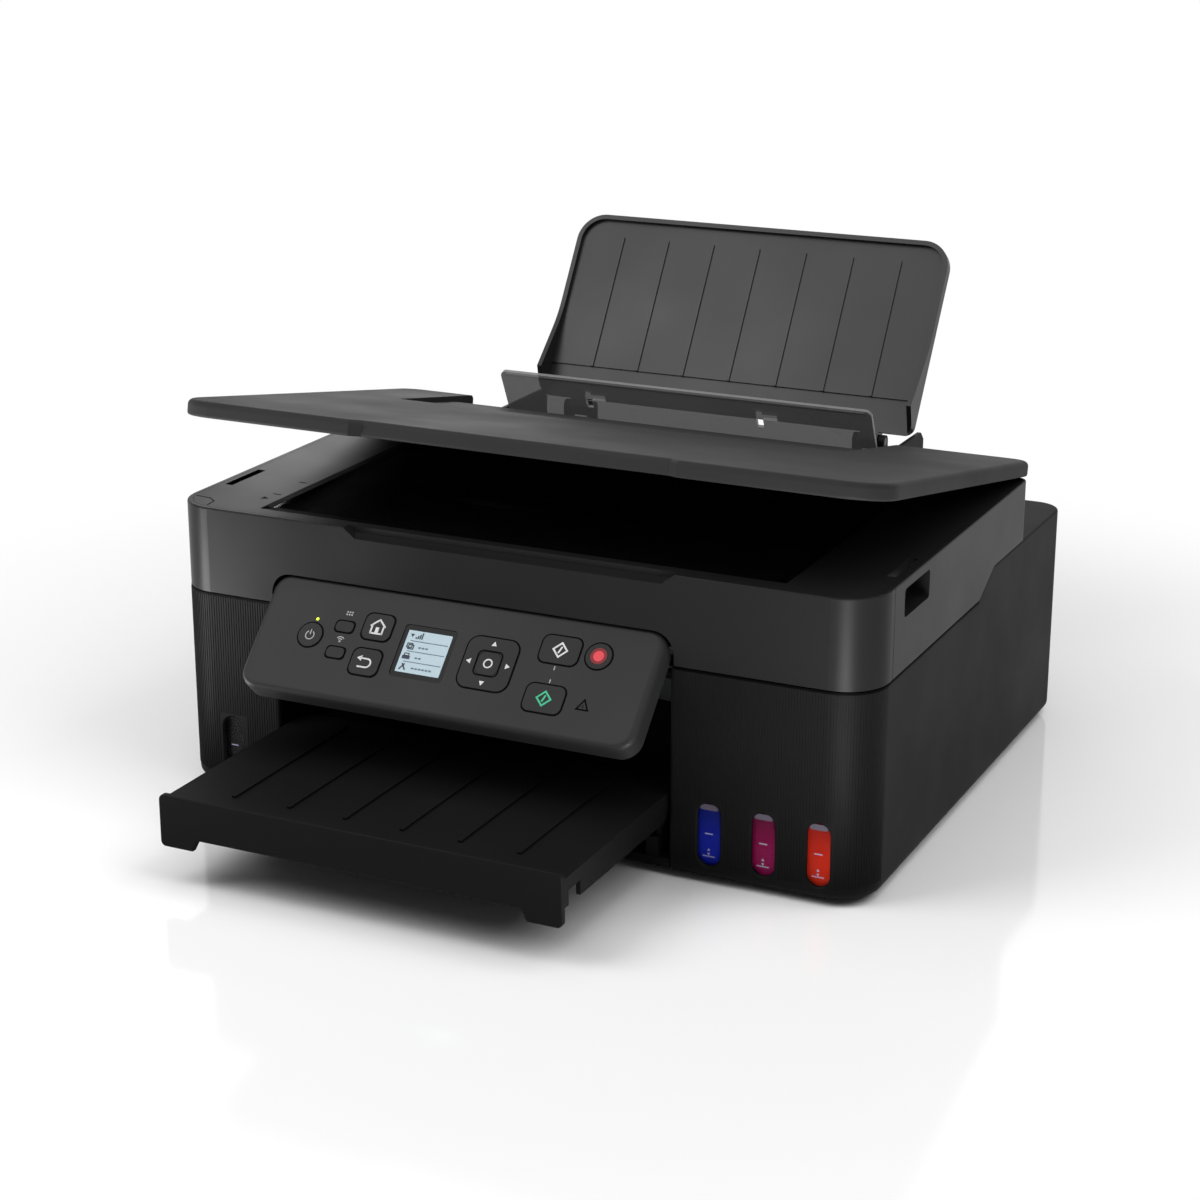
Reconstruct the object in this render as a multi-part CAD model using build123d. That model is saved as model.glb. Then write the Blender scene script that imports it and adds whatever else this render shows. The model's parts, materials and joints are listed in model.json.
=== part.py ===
from build123d import *
import math
import os

# Ink-tank inkjet printer with a flatbed scanner on top, in millimetres.
# X runs to the right seen from the front, Y to the back, Z up; the feet stand on Z 0.
# Everything is drawn as the photograph shows it: lid ajar, panel tilted, tray and support out.

# Lower body
body_width = 416.0
body_depth = 337.0
front_radius = 24.0
rear_radius = 16.0
bottom_radius = 6.0
deck_edge = 1.2
wall = 2.5
foot_height = 3.0
seam_height = 118.0
deck_height = 131.0
seam_step_front = 3.5
seam_step_rear = 28.6
seam_gap = 0.6
left_column = 67.0
right_column = 110.5
column_depth = 106.0
mouth_edge_radius = 2.3
floor_thickness = 3.0
sill_height = 4.0
sill_setback = 0.5
foot_radius = 9.0
foot_inset = 38.0
foot_pocket = 1.2
foot_chamfer = 0.8

# Fits: loose parts, turning shafts, parts seated in one another
fit_gap = 0.3
run_gap = 0.05
seat_gap = 0.02

# How far a cutting shape runs past the face it cuts
past = 1.0

# Scanner unit, lid and their hinges
scanner_top_height = 167.5
scanner_rear = 88.0
scanner_wall = 3.2
scanner_floor = 2.5
scanner_rear_radius = 6.0
scanner_edge = 0.8
top_plate = 2.8
top_fit = 0.2
fascia_depth = 28.5
fascia_groove = 0.5
fascia_groove_depth = 0.4
glass_left_margin = 51.0
glass_right_margin = 52.0
glass_front_margin = 12.0
glass_rear_margin = 26.0
glass_thickness = 2.6
glass_sink = 0.1
glass_ledge = 4.0
glass_ledge_drop = 2.5
glass_lip = 3.0
post_radius = 5.0
post_inset = 16.0
post_front = 60.0
post_rear = 12.0
scanner_axis_behind = 8.0
scanner_axis_rise = 19.0
scanner_pin_radius = 3.0
knuckle_radius = 6.0
knuckle_width = 14.0
knuckle_inset = 31.0
tower_thickness = 5.6
tower_gap = 0.4
grip_front = 43.5
grip_length = 39.0
grip_height = 15.5
grip_top_bar = 5.0
grip_depth = 11.0
grip_bar = 6.0
grip_shell = 2.0
grip_radius = 2.5
grip_slot_inset = 2.0
lift_left = -88.6
lift_right = 91.6
lift_drop = 6.0
lift_depth = 5.5
lift_slope = 2.5
lift_flare = 9.0
lift_wall = 2.0
scan_bar_width = 18.0
scan_bar_height = 10.0
scan_bar_margin = 8.0
scan_bar_drop = 3.0
scan_bar_rest = 7.0
scan_bar_window_inset = 4.0
scan_bar_window_rise = 0.9
scan_bar_shoe = 4.0
scan_bar_shoe_reach = 6.0
scan_bar_shoe_drop = 8.0
scan_rail_width = 8.0
scan_rail_y = -45.0
scan_rail_inset = 12.0
lid_thickness = 8.9
lid_skin = 2.2
lid_wall = 3.0
lid_edge_radius = 3.2
lid_lower_radius = 1.5
lid_rear = 97.0
lid_rear_radius = 14.0
lid_open_angle = 11.0
lid_axis_y = 90.0
lid_axis_rise = 3.0
lid_pin_radius = 1.8
lid_pin_seat = 2.0
lid_ear_radius = 3.4
lid_ear_width = 6.0
lid_ear_inset = 18.0
lid_ear_drop = 10.0
lid_ear_clearance = 0.6
lid_block_width = 20.0
lid_block_length = 8.0
notch_left_gap = 16.5
notch_right_gap = 6.5
notch_front = 2.0
notch_open_from = 70.0
notch_floor = 2.4
lid_grip_depth = 4.5
lid_grip_flare = 7.0
pad_margin = 44.0
pad_front_margin = 10.0
pad_thickness = 3.0
pad_gap = 0.2
pad_corner_radius = 5.0
lid_ribs = 5
lid_rib = 1.6

# Control panel, drawn upright and then swung out about its pivot
panel_axis_behind_front = 3.5
panel_axis_above_seam = 8.0
panel_length = 70.0
panel_side_gap = 1.5
panel_above_axis = 7.5
panel_ahead_of_axis = 7.5
panel_thickness = 14.0
panel_corner_radius = 11.0
panel_edge_radius = 3.5
panel_back_depth = 5.0
panel_back_margin = 12.0
panel_back_top_margin = 18.0
panel_skin = 2.2
panel_tilt = 44.0
panel_pin_radius = 2.5
panel_pin_seat = 3.5
panel_boss = 5.0
panel_boss_height = 11.0
panel_recess_gap = 1.2
panel_recess_side = 2.0
panel_recess_corner = 12.0
panel_recess_wall = 2.2

# Keys and display; insets run from the panel's left end, or its right end for the last four keys
key_proud = 0.5
key_side_gap = 0.2
key_flange = 1.0
key_flange_gap = 0.2
key_flange_thickness = 1.2
key_stem_depth = 6.6
key_travel = 1.0
display_width = 32.0
display_height = 31.0
display_inset = 103.5
display_frame = 1.6
display_recess = 0.5
display_thickness = 3.0
display_radius = 2.5
pad_key_size = 29.5
pad_key_radius = 6.0
pad_key_inset = 93.2
ok_key_size = 13.0
ok_key_radius = 4.0
power_key_radius = 7.0
power_key_inset = 33.5
small_key_width = 10.5
small_key_height = 6.0
small_key_radius = 2.4
small_key_inset = 52.2
small_key_offset = 7.8
square_key_width = 17.0
square_key_height = 15.0
square_key_radius = 4.0
square_key_inset = 71.9
square_key_offset = 10.5
start_key_width = 22.0
start_key_height = 15.5
start_key_radius = 4.0
start_key_inset = 55.7
start_key_offset = 14.1
stop_key_radius = 7.2
stop_key_inset = 33.6

# Rear feeder: hopper, paper guides, slot cover and paper support
paper_width = 210.0
paper_centre = -12.5
feeder_lean = 32.5
feeder_top_ahead = 14.0
feeder_top_rise = 33.0
feeder_plate_start = 12.0
feeder_plate_end = 84.0
feeder_plate = 2.5
hopper_wall = 2.5
hopper_side_gap = 1.0
hopper_front_gap = 12.5
hopper_rear_gap = 4.5
hopper_rise = 37.0
hopper_front_drop = 25.0
hopper_rear_drop = 10.0
hopper_toe = 6.0
hopper_front_lip = 28.5
hopper_rear_lip = 19.0
hopper_corner = 5.0
hopper_flange = 4.0
hopper_flange_height = 2.0
support_width = 255.0
support_length = 130.0
support_pivot_back = 6.0
support_skin = 3.0
support_rim = 3.0
support_rim_top = 3.0
support_rim_foot = 14.0
support_rim_bend = 58.0
support_rim_end = 18.0
support_rim_curve = 80.0
support_top_radius = 18.0
support_foot_radius = 6.0
support_rise = 4.0
support_crease = 26.0
support_crease_depth = 1.2
support_lug_radius = 5.6
support_lug_width = 12.0
support_lug_inset = 28.0
support_lug_heel = 3.0
support_pin_radius = 2.5
support_ear_width = 4.0
support_ear_radius = 4.0
support_ear_drop = 22.0
support_ribs = 7
support_rib_width = 1.6
support_rib_height = 0.9
support_rib_margin = 14.0
slot_cover_width = 246.4
slot_cover_height = 35.0
slot_cover_thickness = 2.2
slot_cover_lean = 25.0
slot_cover_behind = 3.5
slot_cover_rise = 33.5
slot_cover_rod_radius = 2.2
slot_cover_corner = 4.0
slot_cover_bead = 1.5
slot_cover_cuts = (-79.0, 35.5)
slot_cover_cut_low = 14.0
slot_cover_cut_width = 4.5
slot_cover_cut_height = 12.0
slot_cover_bar_width = 14.0
slot_cover_bar_low = 20.0
slot_cover_bar_height = 4.0
guide_fence = 2.2
guide_height = 12.0
guide_length = 24.0
guide_foot_width = 16.0
guide_foot = 2.0
guide_start = 14.0
guide_play = 1.0
pickup_tyre_radius = 10.0
pickup_tyre_width = 18.0
pickup_tyre_spacing = 60.0
pickup_shaft_radius = 3.0
pickup_station = 45.0
pickup_nip = 1.0

# Output tray, drawn pulled out
tray_pull = 120.0
tray_side_gap = 2.0
tray_front = -170.0
tray_length = 144.0
tray_floor_low = 43.0
tray_floor = 3.4
tray_plate = 3.5
tray_plate_low = 21.0
tray_plate_high = 50.0
tray_plate_radius = 3.0
tray_plate_edge = 0.8
tray_foot = 19.0
tray_foot_slope = 4.0
tray_foot_height = 6.5
tray_skirt_low = 31.0
tray_skirt = 2.4
tray_skirt_taper = 24.0
tray_gap_front = 4.0
tray_gap_length = 13.0
tray_gap_height = 8.0
tray_ribs = 6
tray_rib_width = 2.0
tray_rib_height = 1.2
tray_rib_front = 20.0
tray_rib_rear = 10.0
runner_inset = 6.5
runner_width = 2.5
runner_rear = -30.0
bracket_inset = 6.5
bracket_width = 7.0
bracket_thickness = 3.0
bracket_top = 21.0

# Ink tanks and their windows
window_width = 12.8
window_low = 10.5
window_high = 45.5
window_recess = 1.0
window_chamfer = 0.9
window_flange = 1.6
window_flange_thickness = 1.0
window_gap = 0.1
colour_window_inset = 22.7
colour_pitch = 30.5
black_window_inset = 35.0
colour_tank_width = 28.3
black_tank_width = 52.0
tank_front_gap = 0.4
tank_length = 94.0
tank_low = 9.2
tank_top = 88.0
tank_edge_radius = 3.0
tank_wall = 2.0
tank_side_gap = 0.5
tank_rest_width = 3.0
tank_rest_inset = 15.0
neck_radius = 7.0
neck_bore = 5.0
neck_height = 3.5
neck_from_front = 50.0
cap_length = 20.0
cap_lip = 2.0
cap_width = 17.0
cap_thickness = 4.0
cap_corner = 4.0
cap_gap = 0.3
cap_plug_gap = 0.7
cap_plug_depth = 2.0
cap_pin_radius = 1.5
cap_ear_width = 2.5
cap_ear_radius = 3.0

# Print engine
chassis_side_gap = 20.0
chassis_sheet = 1.5
chassis_corner = 20.0
chassis_front = -45.0
chassis_back = 60.0
chassis_top = 112.0
chassis_slot_low = 58.0
chassis_slot_high = 78.0
chassis_slot_left = 25.0
chassis_slot_right = 5.0
rail_y = 44.0
rail_z = 92.0
rail_radius = 4.0
feed_y = 32.0
feed_z = 58.0
feed_radius = 6.5
feed_overrun = 10.0
roller_shaft_radius = 4.0
exit_y = -26.0
exit_z = 58.0
exit_shaft_radius = 3.0
exit_tyre_radius = 6.0
exit_tyre_width = 8.0
exit_tyres = 6
platen_front = -18.0
platen_rear = 24.0
platen_top = 63.5
platen_thickness = 4.0
platen_ribs = 12
platen_rib_width = 1.6
platen_rib_height = 1.5
platen_rib_inset = 4.0
platen_half_length = 110.0
platen_leg = 4.0
platen_end_gap = 1.0
gear_module = 1.0
gear_teeth = 44
pinion_teeth = 14
gear_width = 6.0
gear_addendum = 0.7
gear_dedendum = 1.1
gear_root_share = 0.29
gear_tip_share = 0.114
gear_holes = 5
gear_hole_radius = 3.4
motor_radius = 16.0
motor_length = 26.0
motor_end_cap = 3.0
motor_shaft_radius = 2.0
motor_clearance = 1.0
carriage_width = 90.0
carriage_park_inset = 48.0
carriage_front = -40.0
carriage_rear = 36.0
carriage_low = 67.5
carriage_high = 112.0
carriage_wall = 2.5
carriage_nose = 14.0
carriage_neck = 10.0
bush_radius = 7.0
head_width = 38.0
head_length = 56.0
head_height = 34.0
head_gap = 1.0
head_radius = 6.0
nozzle_width = 16.0
nozzle_drop = 2.0
belt_y = 52.0
belt_width = 5.0
belt_thickness = 1.2
belt_gap = 0.1
pulley_radius = 8.0
pulley_inset = 18.0
pulley_z = 102.0
pulley_flange = 0.8
pulley_flange_rise = 1.0
pulley_hole = 4.0
clamp_length = 16.0
clamp_wall = 3.0
purge_width = 84.0
purge_height = 46.0
purge_wall = 6.0
purge_floor = 8.0
purge_roof = 14.0
purge_cap_width = 30.0
purge_cap_length = 40.0
purge_cap_height = 4.0
purge_cap_wall = 2.0
purge_cap_radius = 4.0
purge_cap_front = 1.0
supply_width = 84.0
supply_depth = 70.0
supply_height = 48.0
supply_gap = 6.0
supply_radius = 3.0
supply_vents = 7
supply_vent = 4.0
supply_vent_pitch = 10.0
supply_vent_margin = 10.0
supply_vent_depth = 1.5
board_left = 40.0
board_right = 60.0
board_height = 44.0
board_standoff = 3.0
board_thickness = 1.6
chip_size = 16.0
chip_height = 2.0
chip_rise = 12.0
chip_places = (-20.0, 15.0)

# Rear wall fittings
rear_cover_width = 150.0
rear_cover_height = 62.0
rear_cover_x = -10.0
rear_cover_low = 26.0
rear_cover_radius = 8.0
rear_cover_lip = 3.0
rear_cover_lip_thickness = 2.0
rear_grip_width = 26.0
rear_grip_height = 8.0
rear_grip_inset = 22.0
rear_grip_drop = 20.0
rear_grip_radius = 3.0
rear_grip_depth = 2.8
rear_groove_inset = 40.0
rear_groove_low = 12.0
rear_groove_pitch = 6.0
rear_groove_width = 2.0
rear_groove_depth = 0.8
rear_grooves = 3
inlet_from_side = 48.0
inlet_z = 40.0
inlet_width = 24.0
inlet_height = 18.0
inlet_depth = 18.0
inlet_socket_width = 15.6
inlet_socket_height = 8.4
inlet_socket_depth = 12.0
inlet_pin_radius = 1.2
inlet_pin_pitch = 8.6
inlet_pin_recess = 3.0
port_from_side = 90.0
port_z = 42.0
port_width = 15.0
port_height = 14.0
port_depth = 16.0
port_socket_width = 8.6
port_socket_height = 7.8
port_socket_depth = 11.0
port_socket_chamfer = 1.6
port_tongue = 6.0
port_tongue_thickness = 2.0
port_tongue_recess = 2.0
collar_reach = 2.5
collar_thickness = 2.0

# Places that follow from the sizes above
left = -body_width / 2
right = body_width / 2
front = -body_depth / 2
rear = body_depth / 2
mouth_left = left + left_column
mouth_right = right - right_column
mouth_middle = (mouth_left + mouth_right) / 2
column_rear = front + column_depth
floor_top = foot_height + floor_thickness
scanner_low = seam_height + seam_gap
scanner_axis_y = scanner_rear + scanner_axis_behind
scanner_axis_z = deck_height + scanner_axis_rise
knuckle_places = (left + knuckle_inset, right - knuckle_inset)
lid_low = scanner_top_height + seam_gap
lid_high = lid_low + lid_thickness
lid_axis_z = scanner_top_height + lid_axis_rise
lid_ear_places = (left + lid_ear_inset, right - lid_ear_inset)
ceiling = lid_high + body_depth
grip_high = scanner_top_height - grip_top_bar
grip_low = grip_high - grip_height
grip_y0 = front + grip_front
grip_y1 = grip_y0 + grip_length
lift_low = scanner_top_height - lift_drop
top_low = scanner_top_height - top_plate
glass_left = left + glass_left_margin
glass_right = right - glass_right_margin
glass_front = front + glass_front_margin
glass_rear = scanner_rear - glass_rear_margin
panel_axis_y = front + panel_axis_behind_front
panel_axis_z = seam_height + panel_axis_above_seam
panel_front_y = panel_axis_y - panel_ahead_of_axis
panel_back_y = panel_front_y + panel_thickness
panel_split_y = panel_back_y - panel_back_depth
panel_top_z = panel_axis_z + panel_above_axis
panel_low_z = panel_top_z - panel_length
panel_mid_z = panel_top_z - panel_length / 2
panel_left = mouth_left + panel_side_gap
panel_right = mouth_right - panel_side_gap
power_key_x = panel_left + power_key_inset
small_key_x = panel_left + small_key_inset
square_key_x = panel_left + square_key_inset
display_x = panel_left + display_inset
pad_key_x = panel_right - pad_key_inset
start_key_x = panel_right - start_key_inset
stop_key_x = panel_right - stop_key_inset
support_left = paper_centre - support_width / 2
support_right = paper_centre + support_width / 2
support_lugs = (support_left + support_lug_inset, support_right - support_lug_inset)
hopper_left = support_left - hopper_side_gap - hopper_wall
hopper_right = support_right + hopper_side_gap + hopper_wall
hopper_front = scanner_rear + hopper_front_gap
hopper_rear = rear - hopper_rear_gap
hopper_top = deck_height + hopper_rise
feeder_top_y = hopper_rear - feeder_top_ahead
feeder_top_z = deck_height + feeder_top_rise
slot_cover_axis_y = hopper_front + slot_cover_behind
slot_cover_axis_z = deck_height + slot_cover_rise
notch_left = hopper_left - notch_left_gap
notch_right = hopper_right + notch_right_gap
notch_low = lid_low + pad_thickness + pad_gap
tank_front = front + wall + window_flange_thickness + tank_front_gap
tank_rear = tank_front + tank_length
neck_y = front + neck_from_front
cap_axis_z = tank_top + neck_height + cap_gap + cap_thickness / 2
cap_axis_y = neck_y + cap_length / 2
chassis_half_width = right - chassis_side_gap
carriage_park = chassis_half_width - carriage_park_inset
pulley_half_span = chassis_half_width - pulley_inset
gear_distance = gear_module * (gear_teeth + pinion_teeth) / 2
gear_x = -chassis_half_width - chassis_sheet - fit_gap - gear_width
motor_y = feed_y
motor_z = feed_z - gear_distance
head_y0 = (carriage_front + carriage_rear - head_length) / 2
head_y1 = head_y0 + head_length
nozzle_y0 = head_y0 + head_length / 4
nozzle_y1 = head_y1 - head_length / 4
scan_rail_top = top_low - scan_bar_drop - scan_bar_height
inlet_x = right - inlet_from_side
port_x = right - port_from_side
inks = ["black", "cyan", "magenta", "yellow"]
window_x = {"black": left + black_window_inset}
for number, ink in enumerate(inks[1:]):
    window_x[ink] = mouth_right + colour_window_inset + number * colour_pitch
window_middle = (window_low + window_high) / 2
black_tank_x = (left + mouth_left) / 2


def block(x0, x1, y0, y1, z0, z1):
    return Pos((x0 + x1) / 2, (y0 + y1) / 2, (z0 + z1) / 2) * Box(x1 - x0, y1 - y0, z1 - z0)


def rod_x(y, z, radius, x0, x1):
    return Pos((x0 + x1) / 2, y, z) * Rot(0, 90, 0) * Cylinder(radius, x1 - x0)


def rod_y(x, z, radius, y0, y1):
    return Pos(x, (y0 + y1) / 2, z) * Rot(90, 0, 0) * Cylinder(radius, y1 - y0)


def rod_z(x, y, radius, z0, z1):
    return Pos(x, y, (z0 + z1) / 2) * Cylinder(radius, z1 - z0)


def side_face(points):
    # A face from its outline seen along X, given as (y, z) corners.
    return make_face(Polyline(*points, close=True))


def side_shape(points, x0, x1):
    return extrude(Plane.YZ.offset(x0) * side_face(points), x1 - x0)


def front_shape(face, y0, y1):
    # A solid from a face drawn in X and Z, filling y0 to y1.
    return extrude(Plane.XZ.offset(-y1) * face, y1 - y0)


def front_rectangle(x0, x1, z0, z1, radius=0.0):
    face = Rectangle(x1 - x0, z1 - z0)
    if radius:
        face = fillet(face.vertices(), radius)
    return Pos((x0 + x1) / 2, (z0 + z1) / 2) * face


def swing(shape, y, z, angle):
    # Turn about an axis along X; positive carries +Y towards +Z.
    return Pos(0, y, z) * Rot(angle, 0, 0) * Pos(0, -y, -z) * shape


def plan(y_end, radius_end, inset):
    # The body's rounded outline from the front to y_end, drawn in by inset.
    y0 = front + inset
    y1 = y_end - inset
    face = Pos(0, (y0 + y1) / 2) * Rectangle(body_width - 2 * inset, y1 - y0)
    face = fillet(face.vertices().group_by(Axis.Y)[0], front_radius - inset)
    return fillet(face.vertices().group_by(Axis.Y)[-1], max(radius_end - inset, seam_gap))


def upright(face, z0, z1):
    return extrude(Pos(0, 0, z0) * face, z1 - z0)


def above_seam(lift):
    # Everything over the stepped seam between the lower body and the scanner unit.
    low = seam_height + lift
    high = deck_height + lift
    y0 = front - front_radius
    y1 = rear + rear_radius
    points = [(y0, low), (seam_step_front, low), (seam_step_rear, high), (y1, high), (y1, lid_high),
              (y0, lid_high)]
    return side_shape(points, 2 * left, 2 * right)


def both_sides(shape):
    return shape + mirror(shape, Plane.YZ)


def window_face(x, grow):
    height = window_high - window_low + 2 * grow
    return Pos(x, window_middle) * SlotOverall(height, window_width + 2 * grow, 90)


# Lower body
def body_blank(inset, high):
    # The lower body's block, drawn in by inset, with its bottom edge rounded.
    blank = upright(plan(rear, rear_radius, inset), foot_height + inset, high)
    return fillet(blank.faces().sort_by(Axis.Z)[0].edges(), bottom_radius - inset)


def lower_housing():
    blank = body_blank(0, deck_height)
    blank = fillet(blank.faces().sort_by(Axis.Z)[-1].edges(), deck_edge)
    shell = blank - body_blank(wall, deck_height + past)
    shell -= upright(plan(rear, rear_radius, bottom_radius), 0, deck_height)
    shell -= block(mouth_left, mouth_right, front - past, front + 2 * bottom_radius, 0, ceiling)
    for x0 in (mouth_left - wall, mouth_right):
        shell += block(x0, x0 + wall, front, column_rear, foot_height, deck_height) & blank
    seam_rear = scanner_rear - scanner_floor
    shell -= above_seam(0) & block(2 * left, 2 * right, 2 * front, seam_rear, 0, ceiling)
    shell = fillet(mouth_edges(shell), mouth_edge_radius)
    deck = plan(rear, rear_radius, wall / 2)
    deck &= Pos(0, rear) * Rectangle(body_width, 2 * (rear - seam_rear))
    shell += upright(deck, deck_height - wall, deck_height)
    shell -= block(hopper_left - fit_gap, hopper_right + fit_gap, hopper_front - fit_gap,
                   hopper_rear + fit_gap, deck_height - 2 * wall, deck_height + past)
    for x in window_x.values():
        shell -= window_hole(x)
    shell -= front_shape(offset(rear_cover_face(), fit_gap), rear - 2 * wall, rear + past)
    for x, z, width, height in ((inlet_x, inlet_z, inlet_width, inlet_height),
                                (port_x, port_z, port_width, port_height)):
        hole = front_rectangle(x - width / 2, x + width / 2, z - height / 2, z + height / 2)
        shell -= front_shape(offset(hole, seat_gap), rear - 2 * wall, rear + past)
    for x in knuckle_places:
        shell += hinge_tower(x)
    return shell


def mouth_edges(shell):
    # The upright front edges of the two columns, beside the mouth.
    edges = shell.edges().filter_by(Axis.Z)
    edges = [edge for edge in edges if abs(edge.center().Y - front) < seat_gap]
    return [edge for edge in edges if min(abs(edge.center().X - mouth_left),
                                          abs(edge.center().X - mouth_right)) < seat_gap]


def window_hole(x):
    # A slot through the front wall with a bevelled rim.
    hole = front_shape(window_face(x, window_gap), front - past, front + 2 * wall)
    wide = Plane.XZ.offset(-front) * window_face(x, window_gap + window_chamfer)
    narrow = Plane.XZ.offset(-front - window_chamfer) * window_face(x, window_gap)
    return hole + loft([wide, narrow])


def hinge_tower(x):
    # Two cheeks on the rear deck that hold the ends of a scanner hinge pin.
    tower = Part()
    inner = knuckle_width / 2 + tower_gap
    y0 = scanner_axis_y - knuckle_radius
    for x0 in (x - inner - tower_thickness, x + inner):
        x1 = x0 + tower_thickness
        cheek = block(x0, x1, y0, y0 + 2 * knuckle_radius, deck_height, scanner_axis_z)
        cheek += rod_x(scanner_axis_y, scanner_axis_z, knuckle_radius, x0, x1)
        tower += cheek - rod_x(scanner_axis_y, scanner_axis_z, scanner_pin_radius + seat_gap, x0 - past,
                               x1 + past)
    return tower


def scanner_hinge_pins():
    pins = Part()
    reach = knuckle_width / 2 + tower_gap + tower_thickness
    for x in knuckle_places:
        pins += rod_x(scanner_axis_y, scanner_axis_z, scanner_pin_radius, x - reach, x + reach)
    return pins


def foot_places():
    x = right - foot_inset
    y = rear - foot_inset
    return [(-x, -y), (x, -y), (-x, y), (x, y)]


def runner_places():
    return (mouth_left + runner_inset, mouth_right - runner_inset - runner_width)


def base_pan():
    # The floor, with a sill across the mouth, tray runners, tank rests and foot pockets.
    pan = upright(plan(rear, rear_radius, bottom_radius + seat_gap), foot_height, floor_top)
    sill = block(mouth_left, mouth_right, front, front + 2 * bottom_radius, foot_height,
                 floor_top + sill_height)
    pan += sill & body_blank(sill_setback, deck_height)
    pan += sill & block(left, right, front + sill_setback + bottom_radius, rear, foot_height, floor_top)
    for x0 in (mouth_left - wall, mouth_right):
        pan -= block(x0 - seat_gap, x0 + wall + seat_gap, front - past, column_rear + seat_gap, 0,
                     deck_height)
    for x0 in runner_places():
        pan += block(x0, x0 + runner_width, front + 2 * wall, runner_rear, foot_height,
                     tray_floor_low - fit_gap)
    bracket_x = mouth_right - bracket_inset - bracket_width
    pan += block(bracket_x, bracket_x + bracket_width, front + 2 * sill_setback,
                 front + 2 * sill_setback + bracket_thickness, floor_top, bracket_top)
    for ink in inks:
        x, width = tank_place(ink)
        for y in (tank_front + tank_rest_inset, tank_rear - tank_rest_inset):
            pan += block(x - width / 4, x + width / 4, y, y + tank_rest_width, foot_height,
                         tank_low - seat_gap)
    for x, y in foot_places():
        pan -= rod_z(x, y, foot_radius + seat_gap, 0, foot_height + foot_pocket)
    return pan


def feet():
    pads = Part()
    for x, y in foot_places():
        pad = rod_z(x, y, foot_radius, 0, foot_height + foot_pocket)
        pads += chamfer(pad.edges().group_by(Axis.Z)[0], foot_chamfer)
    return pads


# Ink supply
def ink_windows():
    lenses = Part()
    inner = front + wall
    for x in window_x.values():
        lens = front_shape(window_face(x, 0), front + window_recess, inner + window_flange_thickness)
        flange = front_shape(window_face(x, window_flange), inner, inner + window_flange_thickness)
        lenses += lens + (flange & upright(plan(rear, rear_radius, wall + seat_gap), 0, deck_height))
    return lenses


def tank_place(ink):
    if ink == "black":
        return black_tank_x, black_tank_width
    return window_x[ink], colour_tank_width


def ink_tank(ink):
    x, width = tank_place(ink)
    x0 = x - width / 2
    x1 = x + width / 2
    tank = block(x0, x1, tank_front, tank_rear, tank_low, tank_top)
    tank = fillet(tank.edges().filter_by(Axis.Z), tank_edge_radius)
    tank = fillet(tank.faces().sort_by(Axis.Z)[-1].edges(), tank_edge_radius / 2)
    tank = tank & upright(plan(rear, rear_radius, wall + tank_side_gap), tank_low, tank_top)
    hollow = block(x0 + tank_wall, x1 - tank_wall, tank_front + tank_wall, tank_rear - tank_wall,
                   tank_low + tank_wall, tank_top - tank_wall)
    inner = plan(rear, rear_radius, wall + tank_side_gap + tank_wall)
    tank -= hollow & upright(inner, tank_low + tank_wall, tank_top - tank_wall)
    tank += rod_z(x, neck_y, neck_radius, tank_top - tank_wall, tank_top + neck_height)
    tank -= rod_z(x, neck_y, neck_bore, tank_top - 2 * tank_wall, tank_top + neck_height + past)
    for side in (-1, 1):
        middle = x + side * (cap_width / 2 + fit_gap + cap_ear_width / 2)
        ear_x0 = middle - cap_ear_width / 2
        ear_x1 = middle + cap_ear_width / 2
        ear = block(ear_x0, ear_x1, cap_axis_y - cap_ear_radius, cap_axis_y + cap_ear_radius,
                    tank_top - tank_wall / 2, cap_axis_z)
        ear += rod_x(cap_axis_y, cap_axis_z, cap_ear_radius, ear_x0, ear_x1)
        tank += ear - rod_x(cap_axis_y, cap_axis_z, cap_pin_radius + run_gap, ear_x0 - past, ear_x1 + past)
    return tank


def tank_cap(ink):
    # A lever cap that swings up at the back, with a stopper for the filler neck.
    x, width = tank_place(ink)
    x0 = x - cap_width / 2
    x1 = x + cap_width / 2
    low = cap_axis_z - cap_thickness / 2
    cap = block(x0, x1, cap_axis_y - cap_length - cap_lip, cap_axis_y, low, low + cap_thickness)
    cap = fillet(cap.edges().filter_by(Axis.Z).group_by(Axis.Y)[0], cap_corner)
    cap += rod_x(cap_axis_y, cap_axis_z, cap_thickness / 2, x0, x1)
    cap += rod_z(x, neck_y, neck_bore - cap_plug_gap, low - cap_gap - cap_plug_depth, low)
    reach = fit_gap + cap_ear_width
    return cap + rod_x(cap_axis_y, cap_axis_z, cap_pin_radius, x0 - reach, x1 + reach)


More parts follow.
